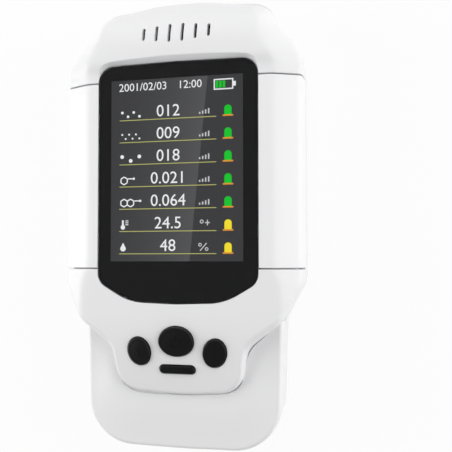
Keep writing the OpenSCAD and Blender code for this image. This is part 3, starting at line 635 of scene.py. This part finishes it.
def back_grilles():
    """Two fields of seven slots each, with round ends: below the fan and below the gas sensors."""
    return [prism(round_slot(width, GRILLE_L, 8) + [x + i * pitch, y], -1, WALL + 1)
            for x, y, pitch, width in GRILLES for i in range(-3, 4)]


def usb_mouth():
    """Cutter through the tail's end: the socket's outline grown by a gap, with rounded corners."""
    low, high = box_mm("usb_socket")
    gap = 0.35
    x, z0, z1 = high[0] + gap, low[2] - gap, high[2] + gap
    shape = rounded(np.array([(-x, z0, 0.6), (x, z0, 0.6), (x, z1, 0.6), (-x, z1, 0.6)]), 6, 4)
    ends = [np.column_stack([shape[:, 0], np.full(len(shape), y), shape[:, 1]])
            for y in (-HEAD_Y - 2, -HEAD_Y + WALL + 1.5)]
    return tube(np.array(ends))


# ---- Keys ----
def key_matrix(at, lean):
    """Places a shape of the key plane: turned by its lean, tilted with the plane, set on the apron."""
    y = GLASS_END - KEY_DROP
    z = FACE_Z - APRON_DROP * ((FALL_Y - y) / (FALL_Y - APRON_END))**2
    plane = Matrix.Translation((0, y, z)) @ Matrix.Rotation(KEY_TILT, 4, "X")
    return np.array(plane @ Matrix.Translation((at[0], at[1], 0)) @ Matrix.Rotation(lean, 4, "Z"))


def place(solid, matrix):
    """A solid with its points moved by a matrix."""
    points, faces = solid
    return points @ matrix[:3, :3].T + matrix[:3, 3], faces


def key_ring(size, grow):
    """Outline of a key, grown by a distance: an ellipse, or a bar with round ends if it is long and low."""
    a = np.linspace(0, 2 * math.pi, KEY_POINTS + 1)[:-1]
    half = np.array(size) / 2
    if size[0] > 2 * size[1]:
        r = half[1] + grow
        return np.stack([np.sign(np.cos(a)) * (half[0] - half[1]) + r * np.cos(a), r * np.sin(a)], 1)
    return np.stack([(half[0] + grow) * np.cos(a), (half[1] + grow) * np.sin(a)], 1)


def key_hole(at, size, lean, body):
    """Cutter of a key's hole, which flares at the apron's face."""
    levels = [(-6, KEY_GAP), (-0.3, KEY_GAP), (0.0, KEY_GAP + 0.15), (4, KEY_GAP + 0.3)]
    rings = [at_height(key_ring(size, grow), z) for z, grow in levels]
    return place(tube(np.array(rings)), key_matrix(at, lean))


def key_top(size, x, y, tip):
    """Height of a key's top: a shallow dome, tipped towards one side."""
    rho = np.minimum((2 * x / size[0])**2 + (2 * y / size[1])**2, 1)
    return KEY_H + KEY_DOME * (1 - rho) - math.tan(tip) * x


def key(name, material, at, size, lean, body):
    """A key: skirt, rounded edge, a narrow lip and the dome inside it."""
    tip = KEY_TIP * np.sign(at[0])
    edge = 0.55
    rings = [at_height(key_ring(size, 0), z) for z in (KEY_FOOT, -1.0)]
    for a in np.linspace(0, math.pi / 2, 9):
        ring = key_ring(size, -edge * (1 - math.cos(a)))
        rings.append(np.column_stack([ring, KEY_H - math.tan(tip) * ring[:, 0] - edge * (1 - math.sin(a))]))
    for inward, drop in ((0.8, 0.03), (1.0, 0.12), (1.2, KEY_DISH)):
        ring = key_ring(size, -inward)
        rings.append(np.column_stack([ring, key_top(size, ring[:, 0], ring[:, 1], tip) - drop]))
    last = key_ring(size, -1.2)
    for share in np.linspace(1, 0, 9)[1:]:
        ring = last * share
        rings.append(np.column_stack([ring, key_top(size, ring[:, 0], ring[:, 1], tip) - KEY_DISH]))
    foot = at_height(np.zeros((KEY_POINTS, 2)), KEY_FOOT)
    solids = [stack(np.array([foot] + rings))] + key_mark(name, size, tip)
    matrix = key_matrix(at, lean)
    piece = make_mesh(name + "_cap", [place(s, matrix) for s in solids], material, 50)
    return finish_piece(piece, body, "key_black", name)


def rib(path, width, height, depth=0.3):
    """Raised rib along a flat path: a flat-topped section carried along it, its top at a height function."""
    d = np.gradient(path, axis=0)
    d = unit(d)
    side = np.stack([-d[:, 1], d[:, 0]], 1)
    rows = []
    for offset, lift in ((-0.5, -depth), (-0.4, 0), (0.4, 0), (0.5, -depth)):
        xy = path + side * width * offset
        rows.append(np.column_stack([xy, height(xy[:, 0], xy[:, 1]) + lift]))
    return tube(np.stack(rows, 1))


def upright(low, high, count):
    """Points of a line up a key's middle, from one height to another."""
    return np.stack([np.zeros(count), np.linspace(low, high, count)], 1)


def key_mark(name, size, tip):
    """Raised sign on a key: a broken ring with a stroke on the power key, a stroke on the side keys."""
    def height(x, y):
        return key_top(size, x, y, tip) - KEY_DISH + MARK_H

    a = np.radians(np.linspace(125, 415, 40))
    ring = np.stack([1.9 * np.cos(a), 1.9 * np.sin(a) - 0.2], 1)
    short, long = ([0.2, 2.3, 5], [-1.6, 1.6, 9])
    paths = {"power_key": [ring, upright(*short)], "menu_key": []}.get(name, [upright(*long)])
    return [rib(path, MARK_W, height) for path in paths]


# ---- Window ----
def window_glass(material):
    """The pane: its outline's insets round both edges, closed over both faces."""
    middle = (GLASS_TOP + GLASS_END) / 2
    r = 0.28
    turn = np.linspace(0, math.pi / 2, 6)
    levels = [(-GLASS_T, 0.1), (-GLASS_T + 0.1, 0)]
    levels += [(-r * (1 - math.sin(a)), r * (1 - math.cos(a))) for a in turn]
    rings = [at_height(rounded(inset(GLASS, d)), FACE_Z + z) for z, d in levels]
    faces = []
    for ring in (rings[0], rings[-1]):
        shares = np.array([0.9, 0.6, 0.3, 0])[:, None, None]
        centre = np.array([0, middle, ring[0, 2]])
        faces.append(centre + (ring - centre)[None] * shares)
    solid = stack(np.concatenate([faces[0][::-1], np.array(rings), faces[1]]))
    piece = make_mesh("window_pane", [solid], material)
    return finish_piece(piece, "case", "window_glass", "display_window")


def ring_at_angles(outline, centre, angles):
    """Where rays from a centre at given angles meet a closed outline around it."""
    p = along_line(np.concatenate([outline, outline[:1]]), np.linspace(0, 1, 4001)[:-1]) - centre
    a = np.arctan2(p[:, 1], p[:, 0])
    order = np.argsort(a)
    radius = np.interp(angles, a[order], np.linalg.norm(p, axis=1)[order], period=2 * math.pi)
    return centre + radius[:, None] * np.stack([np.cos(angles), np.sin(angles)], 1)


def window_border(material):
    """Black print in the back of the pane: a thin ring from the pane's edge to the lit area's edge."""
    centre = np.array([SCREEN_X, SCREEN_Y])
    half = np.array(SCREEN) / 2
    corner = math.atan2(half[1], half[0])
    angles = np.sort(np.concatenate([np.linspace(-math.pi, math.pi, 361)[:-1],
                                     [corner, -corner, math.pi - corner, corner - math.pi]]))
    reach = np.minimum(half[0] / np.maximum(np.abs(np.cos(angles)), 1e-9),
                       half[1] / np.maximum(np.abs(np.sin(angles)), 1e-9))
    inner = centre + reach[:, None] * np.stack([np.cos(angles), np.sin(angles)], 1)
    outer = ring_at_angles(rounded(inset(GLASS, 0.25)), centre, angles)
    low, high = FACE_Z - GLASS_T + 0.02, FACE_Z - GLASS_T + 0.07
    corners = ((outer, low), (outer, high), (inner, high), (inner, low))
    sections = np.stack([at_height(line, z) for line, z in corners], 1)
    points, faces = sections.reshape(-1, 3), grid_faces(len(angles), 4, True, True)
    piece = make_mesh("window_border", [(points, faces)], material)
    return finish_piece(piece, "case", "adhesive_black")


# ---- Picture on the display ----
def words(text, height, x, y, align="LEFT"):
    """Numbers as a thin closed solid: their lower left, or lower middle, at a place on the display."""
    curve = bpy.data.curves.new("numbers", "FONT")
    curve.body = text
    curve.align_x = align
    curve.extrude = 0.5
    curve.resolution_u = 3
    carrier = add_object("numbers", curve)
    graph = bpy.context.evaluated_depsgraph_get()
    mesh = bpy.data.meshes.new_from_object(carrier.evaluated_get(graph))
    points = np.empty(len(mesh.vertices) * 3)
    mesh.vertices.foreach_get("co", points)
    points = points.reshape(-1, 3)
    faces = [list(p.vertices) for p in mesh.polygons]
    bpy.data.objects.remove(carrier)
    bpy.data.meshes.remove(mesh)
    scale = height / DIGIT_RISE
    points = points * [scale * DIGIT_WIDTH, scale, INK_T] + [x, y, INK_Z + INK_T / 2]
    return points, faces


def ink(x0, y0, x1, y1, lift=0.0):
    """A thin block on the display, between two corners."""
    return box((x0, y0, INK_Z + lift), (x1, y1, INK_Z + INK_T + lift))


def ink_shape(outline, lift=0.0):
    """A thin prism on the display, over a flat outline."""
    return prism(np.array(outline, float), INK_Z + lift, INK_Z + INK_T + lift)


def row_y(i):
    """Height of a row's rule on the display."""
    return ROW_TOP - i * ROW_PITCH


def dots(x, y, r, places):
    """Thin discs on the display, at places given from one point."""
    return [ink_shape(disc(x + px, y + py, r, 16)) for px, py in places]


def hexagon(x, y, r, width):
    """An open hexagon, as six short bars."""
    a = np.radians(np.arange(0, 361, 60) + 30)
    corners = np.stack([x + r * np.cos(a), y + r * np.sin(a)], 1)
    return [bar(corners[k], corners[k + 1], width) for k in range(6)]


def bar(start, end, width):
    """A thin straight bar: its outline is the line between two points, moved to both sides."""
    start, end = np.array(start, float), np.array(end, float)
    along = unit(end - start)
    side = np.array([-along[1], along[0]]) * width / 2
    return ink_shape([start - side, end - side, end + side, start + side])


def pictograms():
    """Plain signs at the rows' left: dots for dust, ring signs for gases, a thermometer and a drop."""
    signs = []
    x = ROW_LEFT + 0.2
    for i, (r, count) in enumerate(((0.5, 4), (0.36, 6), (0.7, 3))):
        y = row_y(i) + 2.1
        places = [(0.8 + k * 6.6 / (count - 1), 0.75 * (-1)**k) for k in range(count)]
        signs += dots(x, y, r, places)
    for i, rings in ((3, 1), (4, 2)):
        y = row_y(i) + 2.2
        for k in range(rings):
            signs += hexagon(x + 1.6 + k * 2.5, y, 1.4, INK_LINE)
        end = x + 3.1 + (rings - 1) * 2.5
        signs += [bar((end, y + 0.7), (end + 1.7, y + 0.7), 0.4)] + dots(end + 2.2, y + 0.7, 0.45, [(0, 0)])
    y = row_y(5) + 0.7
    signs += [ink_shape(disc(x + 1.2, y + 0.8, 0.85, 24)), bar((x + 1.2, y + 0.8), (x + 1.2, y + 3.3), 0.7)]
    signs += [bar((x + 2.2, y + 1.7 + k * 0.7), (x + 3.3, y + 1.7 + k * 0.7), 0.3) for k in range(3)]
    y = row_y(6) + 1.9
    a = np.linspace(0, 2 * math.pi, 33)[:-1]
    drop = np.stack([x + 1.3 + 1.05 * np.cos(a) * (1 - 0.5 * np.clip(np.sin(a), 0, 1)**2),
                     y + 1.05 * np.sin(a) + 0.95 * np.clip(np.sin(a), 0, 1)**4], 1)
    signs.append(ink_shape(drop))
    return signs


def unit_marks():
    """Small signs after the values: level ticks for the first five rows, a degree ring and a share sign."""
    marks = []
    for i in range(5):
        y = row_y(i) + 1.1
        marks += [ink(8.2 + k * 1.1, y, 8.7 + k * 1.1, y + 0.7 + 0.4 * k) for k in range(4)]
    y = row_y(5) + 1.2
    marks += hexagon(9.2, y + 2.0, 0.6, 0.3)
    marks += [bar((10.4, y + 1.6), (12.2, y + 1.6), 0.35), bar((11.3, y + 0.6), (11.3, y + 2.6), 0.35)]
    y = row_y(6) + 1.0
    marks.append(bar((8.6, y), (11.0, y + 2.7), 0.34))
    marks += hexagon(8.6, y + 2.1, 0.55, 0.3) + hexagon(11.0, y + 0.6, 0.55, 0.3)
    return marks


def battery_sign():
    """Outline of a battery with its tip, and the middle of its level bars."""
    (x0, x1), (y0, y1) = BATTERY_X, BATTERY_Y
    w, end = INK_LINE, x1 - 0.9
    frame_bars = [ink(x0, y0, end, y0 + w), ink(x0, y1 - w, end, y1), ink(x0, y0 + w, x0 + w, y1 - w),
                  ink(end - w, y0 + w, end, y1 - w), ink(end, y0 + 1.1, x1, y1 - 1.1)]
    level = [ink(x0 + 0.75 + k * 1.25, y0 + 0.7, x0 + 1.65 + k * 1.25, y1 - 0.7) for k in range(3)]
    return frame_bars, level


def lamp(i):
    """A signal lamp: a dome on straight sides, and the bar that it stands on."""
    y = row_y(i) + 0.45
    a = np.linspace(0, math.pi, 17)
    dome = np.stack([LAMP_X + 1.3 * np.cos(a), y + 2.2 + 1.2 * np.sin(a)], 1)
    body = np.concatenate([dome, [[LAMP_X - 1.3, y], [LAMP_X + 1.3, y]]])
    return ink_shape(body), ink(LAMP_X - 1.9, y - 0.55, LAMP_X + 1.9, y)


def screen_picture(mats):
    """What the display shows, one piece for each kind of sign and colour."""
    white = [words("2001/02/03", 2.8, ROW_LEFT - 0.4, 47.45), words("12:00", 2.8, 0.3, 47.45)]
    for i, value in enumerate(VALUES):
        white.append(words(value, VALUE_H, VALUE_X, row_y(i) + 0.95, "CENTER"))
    frame_bars, level = battery_sign()
    lamps = [lamp(i) for i in range(len(VALUES))]
    rules = [ink(ROW_LEFT, row_y(i) - 0.16, ROW_RIGHT, row_y(i) + 0.12) for i in range(7)]
    sheets = {
        "display_numbers": (white + frame_bars, "ink_white"),
        "display_signs": (pictograms(), "ink_white"),
        "display_unit_marks": (unit_marks(), "ink_grey"),
        "display_rules": (rules, "ink_rule"),
        "display_lamps_low": ([lamp_body for lamp_body, _ in lamps[:5]] + level, "ink_green"),
        "display_lamps_high": ([lamp_body for lamp_body, _ in lamps[5:]], "ink_yellow"),
        "display_lamp_bars": ([stand for _, stand in lamps], "ink_orange"),
    }
    for name, (solids, ink_name) in sheets.items():
        finish_piece(make_mesh(name, solids, mats[ink_name]), "case", "display")


# ---- Materials ----
class Nodes:
    """Adds nodes to a tree and links them by socket names."""

    def __init__(self, tree):
        self.tree = tree

    def add(self, kind, inputs=(), **settings):
        node = self.tree.nodes.new(kind)
        for name, value in settings.items():
            setattr(node, name, value)
        for name, value in dict(inputs).items():
            socket = node.inputs[name]
            if isinstance(value, bpy.types.NodeSocket):
                self.link(value, socket)
            else:
                socket.default_value = value
        return node

    def link(self, output, socket):
        self.tree.links.new(output, socket)

    def here(self):
        """Object coordinates."""
        return self.add("ShaderNodeTexCoord").outputs["Object"]

    def noise(self, vector, scale, detail):
        node = self.add("ShaderNodeTexNoise", {"Vector": vector, "Scale": scale, "Detail": detail})
        return node.outputs["Fac"]

    def times(self, colour, level):
        """The colour times a level."""
        grey = self.add("ShaderNodeCombineColor", {0: level, 1: level, 2: level}).outputs[0]
        return self.mix(1.0, colour, grey, "MULTIPLY")

    def bump(self, shader, strength, distance, height):
        lift = self.add("ShaderNodeBump", {"Strength": strength, "Distance": distance, "Height": height})
        self.link(lift.outputs[0], shader.inputs["Normal"])

    def math(self, operation, a, b=0.0, clamp=False):
        return self.add("ShaderNodeMath", {0: a, 1: b}, operation=operation, use_clamp=clamp).outputs[0]

    def mix(self, factor, a, b, blend="MIX"):
        node = self.add("ShaderNodeMix", {0: factor, 6: a, 7: b}, data_type="RGBA", blend_type=blend)
        return node.outputs[2]


def new_group(name, inputs):
    """Shader group with named inputs (name: default) that puts out a colour, a roughness and a height."""
    tree = bpy.data.node_groups.new(name, "ShaderNodeTree")
    for label, value in inputs.items():
        kind = "NodeSocketColor" if isinstance(value, tuple) else "NodeSocketFloat"
        tree.interface.new_socket(label, in_out="INPUT", socket_type=kind).default_value = value
    for label, kind in (("Color", "Color"), ("Roughness", "Float"), ("Height", "Float")):
        tree.interface.new_socket(label, in_out="OUTPUT", socket_type="NodeSocket" + kind)
    nodes = Nodes(tree)
    return tree, nodes, nodes.add("NodeGroupInput").outputs, nodes.add("NodeGroupOutput").inputs


def moulded_group():
    """Finish of moulded plastic: fine grain in the height, slow drifts in colour and roughness."""
    tree, n, given, put = new_group(
        "moulded_finish",
        {"Color": (0.8, 0.8, 0.8, 1.0), "Drift": 0.02, "Roughness": 0.4, "Rough Drift": 0.05, "Grain": 3000.0,
         "Orange Peel": 300.0})
    here = n.here()
    slow = n.noise(here, 22.0, 3.0)
    fine = n.noise(here, given["Grain"], 2.0)
    peel = n.noise(here, given["Orange Peel"], 1.0)
    drift = n.math("MULTIPLY", n.math("SUBTRACT", slow, 0.5), given["Drift"])
    level = n.math("ADD", 1.0, n.math("MULTIPLY", drift, 2.0))
    rough = n.math("MULTIPLY", n.math("SUBTRACT", peel, 0.5), given["Rough Drift"])
    n.link(n.times(given["Color"], level), put["Color"])
    n.link(n.math("ADD", given["Roughness"], rough, True), put["Roughness"])
    n.link(n.math("ADD", n.math("MULTIPLY", fine, 0.4), peel), put["Height"])
    return tree


def drawn_metal_group():
    """Finish of drawn or rolled metal: fine lines along one axis in roughness and height, light stains."""
    tree, n, given, put = new_group(
        "drawn_metal", {"Color": (0.6, 0.6, 0.6, 1.0), "Roughness": 0.3, "Lines": 1200.0, "Stain": 0.1})
    here = n.here()
    stretched = n.add("ShaderNodeMapping", {"Vector": here, "Scale": (0.03, 1.0, 1.0)}).outputs[0]
    lines = n.noise(stretched, given["Lines"], 3.0)
    stain = n.noise(here, 160.0, 4.0)
    dark = n.math("SUBTRACT", 1.0, n.math("MULTIPLY", stain, given["Stain"]))
    n.link(n.times(given["Color"], dark), put["Color"])
    n.link(n.math("ADD", given["Roughness"], n.math("MULTIPLY", lines, 0.15), True), put["Roughness"])
    n.link(lines, put["Height"])
    return tree


def board_group():
    """Solder mask over tracks: the tracks show as slightly lighter, raised bands with scattered pads."""
    tree, n, given, put = new_group(
        "solder_mask", {"Color": (0.02, 0.12, 0.05, 1.0), "Track": (0.05, 0.22, 0.09, 1.0), "Scale": 260.0})
    cells = n.add("ShaderNodeTexVoronoi", {"Vector": n.here(), "Scale": given["Scale"]},
                  distance="CHEBYCHEV", feature="F1").outputs["Distance"]
    ways = n.math("LESS_THAN", n.math("FRACT", n.math("MULTIPLY", cells, 3.0)), 0.35)
    pads = n.math("LESS_THAN", cells, 0.12)
    base = n.mix(ways, given["Color"], given["Track"])
    n.link(n.mix(pads, base, (0.55, 0.52, 0.42, 1.0)), put["Color"])
    n.link(n.math("ADD", 0.32, n.math("MULTIPLY", ways, 0.08)), put["Roughness"])
    n.link(n.math("ADD", ways, pads), put["Height"])
    return tree


def new_material(name):
    """A new material, with what adds its nodes and its Principled shader."""
    material = bpy.data.materials.new(name)
    material.use_nodes = True
    return material, Nodes(material.node_tree), material.node_tree.nodes["Principled BSDF"]


def finish_material(name, group, inputs, bump=(0.1, 0.00002), **sockets):
    """Principled material whose colour, roughness and bump come from a finish group."""
    material, n, shader = new_material(name)
    finish = n.add("ShaderNodeGroup")
    finish.node_tree = group
    for label, value in inputs.items():
        finish.inputs[label].default_value = value
    n.link(finish.outputs["Color"], shader.inputs["Base Color"])
    n.link(finish.outputs["Roughness"], shader.inputs["Roughness"])
    n.bump(shader, *bump, finish.outputs["Height"])
    for label, value in sockets.items():
        shader.inputs[label.replace("_", " ")].default_value = value
    material.diffuse_color = inputs["Color"]
    return material


def glowing(name, colour_of):
    """A lit stretch of the display: its own light with a fine grid of dots, and almost no reflection."""
    material, n, shader = new_material(name)
    shader.inputs["Base Color"].default_value = (0.0, 0.0, 0.0, 1.0)
    shader.inputs["Roughness"].default_value = 0.6
    shader.inputs["Specular IOR Level"].default_value = 0.0
    shader.inputs["Emission Strength"].default_value = 1.0
    n.link(dot_grid(n, colour_of(n)), shader.inputs["Emission Color"])
    return material


def dot_grid(n, colour):
    """A colour dimmed a little along the fine lines between the display's dots."""
    grid = n.add("ShaderNodeTexBrick", {"Vector": n.here(), "Scale": 1 / (DOT_STEP * MM), "Mortar Size": 0.08,
                                        "Brick Width": 1.0, "Row Height": 1.0, "Color1": (1, 1, 1, 1),
                                        "Color2": (0.97, 0.97, 0.97, 1), "Mortar": (0.8, 0.8, 0.8, 1)},
                 offset=0.0).outputs["Color"]
    return n.mix(1.0, colour, grid, "MULTIPLY")


def display_colour_with_painted_sheen(n):
    """Dark face of the display, with a painted reflection: lighter to the left of a slanting line, where a
    painted sheen that stands in for glare on the glass starts.
    """
    at = n.add("ShaderNodeSeparateXYZ", {0: n.here()})
    lean = (PAINTED_SHEEN_TOP[0] - PAINTED_SHEEN_END[0]) / (PAINTED_SHEEN_TOP[1] - PAINTED_SHEEN_END[1])
    start = (PAINTED_SHEEN_END[0] - lean * PAINTED_SHEEN_END[1]) * MM
    line = n.math("ADD", start, n.math("MULTIPLY", at.outputs[1], lean))
    past = n.math("SUBTRACT", line, at.outputs[0])
    left = n.math("MULTIPLY", past, 1 / (PAINTED_SHEEN_EDGE * MM), True)
    fade = n.math("SUBTRACT", 1.0, n.math("MULTIPLY", past, 1 / (PAINTED_SHEEN_REACH * MM)), True)
    # painted reflection: share of the lighter colour, which stands in for glare on the glass
    painted_sheen = n.math("MULTIPLY", left, n.math("MULTIPLY", fade, fade))
    return n.mix(painted_sheen, (0.040, 0.040, 0.042, 1), (0.088, 0.088, 0.090, 1))


def glass_material():
    """Glass with an anti-glare coat, which its low index stands for, and faint smears in its roughness."""
    material, n, shader = new_material("window_glass")
    shader.inputs["Base Color"].default_value = (0.96, 0.97, 0.98, 1)
    shader.inputs["Transmission Weight"].default_value = 1.0
    shader.inputs["IOR"].default_value = 1.36
    n.link(n.math("MULTIPLY", n.noise(n.here(), 35.0, 4.0), 0.05), shader.inputs["Roughness"])
    return material


def mesh_material():
    """Woven dust mesh: two crossed sets of threads, open between them."""
    material, n, shader = new_material("mesh_grey")
    at = n.add("ShaderNodeSeparateXYZ", {0: n.here()})
    threads = [n.math("ABSOLUTE", n.math("SINE", n.math("MULTIPLY", at.outputs[k], math.pi / (THREAD * MM))))
               for k in (0, 1)]
    height = n.math("MAXIMUM", threads[0], threads[1])
    colour = n.mix(height, (0.002, 0.002, 0.002, 1), (0.012, 0.012, 0.013, 1))
    n.link(colour, shader.inputs["Base Color"])
    n.bump(shader, 0.6, 0.0001, height)
    shader.inputs["Roughness"].default_value = 0.7
    return material


def make_materials():
    """Every material, by the name of its slot or ink."""
    moulded, metal, board = moulded_group(), drawn_metal_group(), board_group()

    def plastic(name, colour, rough, drift=0.02, grain=3000.0, bump=(0.1, 0.00002), **sockets):
        inputs = {"Color": (*colour, 1.0), "Roughness": rough, "Drift": drift, "Grain": grain}
        return finish_material(name, moulded, inputs, bump, **sockets)

    def metallic(name, colour, rough, lines=1200.0):
        inputs = {"Color": (*colour, 1.0), "Roughness": rough, "Lines": lines}
        return finish_material(name, metal, inputs, (0.15, 0.00001), Metallic=1.0)

    plastics = (
        ("shell_white", SHELL_WHITE, 0.42, 0.012),
        ("panel_white", PANEL_WHITE, 0.36, 0.010),
        ("plunger_grey", (0.04, 0.04, 0.045), 0.5),
        ("connector_cream", (0.78, 0.74, 0.62), 0.5),
        ("chip_black", (0.02, 0.02, 0.022), 0.55, 0.1),
        ("sensor_blue", (0.10, 0.20, 0.38), 0.5),
        ("fan_black", (0.02, 0.02, 0.022), 0.45),
        ("sensor_cream", (0.72, 0.70, 0.60), 0.5),
        ("lead_rubber", (0.35, 0.02, 0.02), 0.5),
        ("foam_grey", (0.05, 0.05, 0.055), 0.95, 0.3, 900.0, (0.8, 0.0003)),
        ("cable_white", (0.75, 0.75, 0.74), 0.45),
        ("ribbon_amber", (0.55, 0.22, 0.04), 0.3),
    )
    metals = (
        ("frame_steel", (0.62, 0.63, 0.65), 0.3),
        ("switch_steel", (0.6, 0.6, 0.62), 0.3),
        ("screw_steel", (0.45, 0.45, 0.47), 0.28, 2500.0),
        ("motor_grey", (0.35, 0.35, 0.37), 0.4),
        ("laser_brass", (0.62, 0.48, 0.22), 0.3),
        ("sensor_can", (0.66, 0.66, 0.68), 0.25),
    )
    inks = (
        ("ink_white", (0.92, 0.93, 0.93, 1)), ("ink_grey", (0.62, 0.63, 0.64, 1)),
        ("ink_rule", (0.50, 0.50, 0.16, 1)), ("ink_green", (0.0, 0.60, 0.02, 1)),
        ("ink_yellow", (1.0, 0.80, 0.02, 1)), ("ink_orange", (0.80, 0.30, 0.03, 1)),
    )
    made = {row[0]: plastic(*row) for row in plastics}
    made |= {row[0]: metallic(*row) for row in metals}
    made |= {name: glowing(name, lambda n, colour=colour: colour) for name, colour in inks}
    made |= {
        "key_black": plastic("key_black", (0.005, 0.005, 0.0055), 0.4, 0.1, 2200.0, (0.2, 0.00003),
                             Specular_IOR_Level=0.18),
        "cell_blue": plastic("cell_blue", (0.03, 0.12, 0.36), 0.25, 0.05, Coat_Weight=0.4),
        "adhesive_black": plastic("adhesive_black", (0.006, 0.006, 0.0065), 0.6, 0.1,
                                  Specular_IOR_Level=0.1),
        "circuit_green": finish_material("circuit_green", board, {"Color": (0.02, 0.12, 0.05, 1.0)},
                                         (0.3, 0.00004), Coat_Weight=0.3),
        # the display's own light, with a painted reflection of glare in it
        "display": glowing("display", display_colour_with_painted_sheen),
        "window_glass": glass_material(),
        "mesh_grey": mesh_material(),
    }
    return made


def dress_nodes(mats):
    """Gives every CAD node its slot's material."""
    for part in frame["record"]["subparts"]:
        node = frame["nodes"].get(part["node"])
        if node is None:
            continue
        if not node.material_slots:
            node.data.materials.append(None)
        for holder in node.material_slots:
            holder.material = mats[part["material_slot"]]


# ---- Camera, light and floor ----
def camera():
    """The camera, set by its place and its three axes."""
    data = bpy.data.cameras.new("camera")
    data.lens, data.sensor_width = LENS, SENSOR
    data.clip_start = 0.01
    view = add_object("camera", data)
    right, up, back = (unit(np.array(v)) for v in (CAMERA_RIGHT, CAMERA_UP, CAMERA_BACK))
    rows = np.vstack([np.column_stack([right, up, back, CAMERA_AT]), [0, 0, 0, 1]])
    view.matrix_world = Matrix(rows.tolist())
    bpy.context.scene.camera = view


def soft_light(name, at, size, power):
    """A rectangular area light that points at the frame's origin."""
    data = bpy.data.lights.new(name, "AREA")
    data.shape = "RECTANGLE"
    data.size, data.size_y = size
    data.energy = power
    box_light = add_object(name, data)
    box_light.location = at
    box_light.rotation_euler = (-Vector(at)).to_track_quat("-Z", "Y").to_euler()


def world_light():
    """Sky that is bright near the horizon and dimmer overhead, where the window's reflection looks."""
    world = bpy.data.worlds.new("studio")
    world.use_nodes = True
    bpy.context.scene.world = world
    n = Nodes(world.node_tree)
    way = n.add("ShaderNodeTexCoord").outputs["Generated"]
    rise = n.add("ShaderNodeSeparateXYZ", {0: way}).outputs[2]
    share = n.add("ShaderNodeMapRange", {0: rise, 1: SKY_FROM, 2: SKY_TO, 3: 0.0, 4: 1.0},
                  interpolation_type="SMOOTHSTEP")
    colour = n.mix(share.outputs[0], SKY_LOW, SKY_HIGH)
    n.link(colour, world.node_tree.nodes["Background"].inputs["Color"])


def floor():
    """White floor: seen directly or in a reflection it shows white, with the object's faint shadow."""
    mesh = bpy.data.meshes.new("floor")
    r = FLOOR_HALF
    mesh.from_pydata([(-r, -r, 0), (r, -r, 0), (r, r, 0), (-r, r, 0)], [], [(0, 1, 2, 3)])
    plate = add_object("floor", mesh)
    plate.location.z = FLOOR_Z
    material = bpy.data.materials.new("floor")
    material.use_nodes = True
    n = Nodes(material.node_tree)
    material.node_tree.nodes.clear()
    paths = n.add("ShaderNodeLightPath").outputs
    seen = n.math("MAXIMUM", n.math("MAXIMUM", paths["Is Camera Ray"], paths["Is Glossy Ray"]),
                  paths["Is Transmission Ray"])
    matt = n.add("ShaderNodeBsdfDiffuse", {"Color": (0.82, 0.82, 0.82, 1)}).outputs[0]
    glow = n.add("ShaderNodeEmission", {"Color": (1, 1, 1, 1), "Strength": 1.0}).outputs[0]
    blend = n.add("ShaderNodeMixShader", {0: n.math("MULTIPLY", seen, FLOOR_WHITE), 1: matt, 2: glow})
    out = n.add("ShaderNodeOutputMaterial")
    n.link(blend.outputs[0], out.inputs["Surface"])
    mesh.materials.append(material)


def build():
    mats = make_materials()
    camera()
    world_light()
    for light in LIGHTS:
        soft_light(*light)
    floor()
    dress_nodes(mats)
    front_cover(mats["shell_white"])
    side_panel(-1, "left_panel_skin", "left_side_panel", mats["panel_white"])
    side_panel(1, "right_panel_skin", "right_side_panel", mats["panel_white"])
    tail_cover(mats["shell_white"])
    back_cover(mats["shell_white"])
    for name, values in KEYS.items():
        key(name, mats["key_black"], *values)
    window_glass(mats["window_glass"])
    window_border(mats["adhesive_black"])
    screen_picture(mats)


bpy.context.scene.view_settings.view_transform = "Standard"
build()
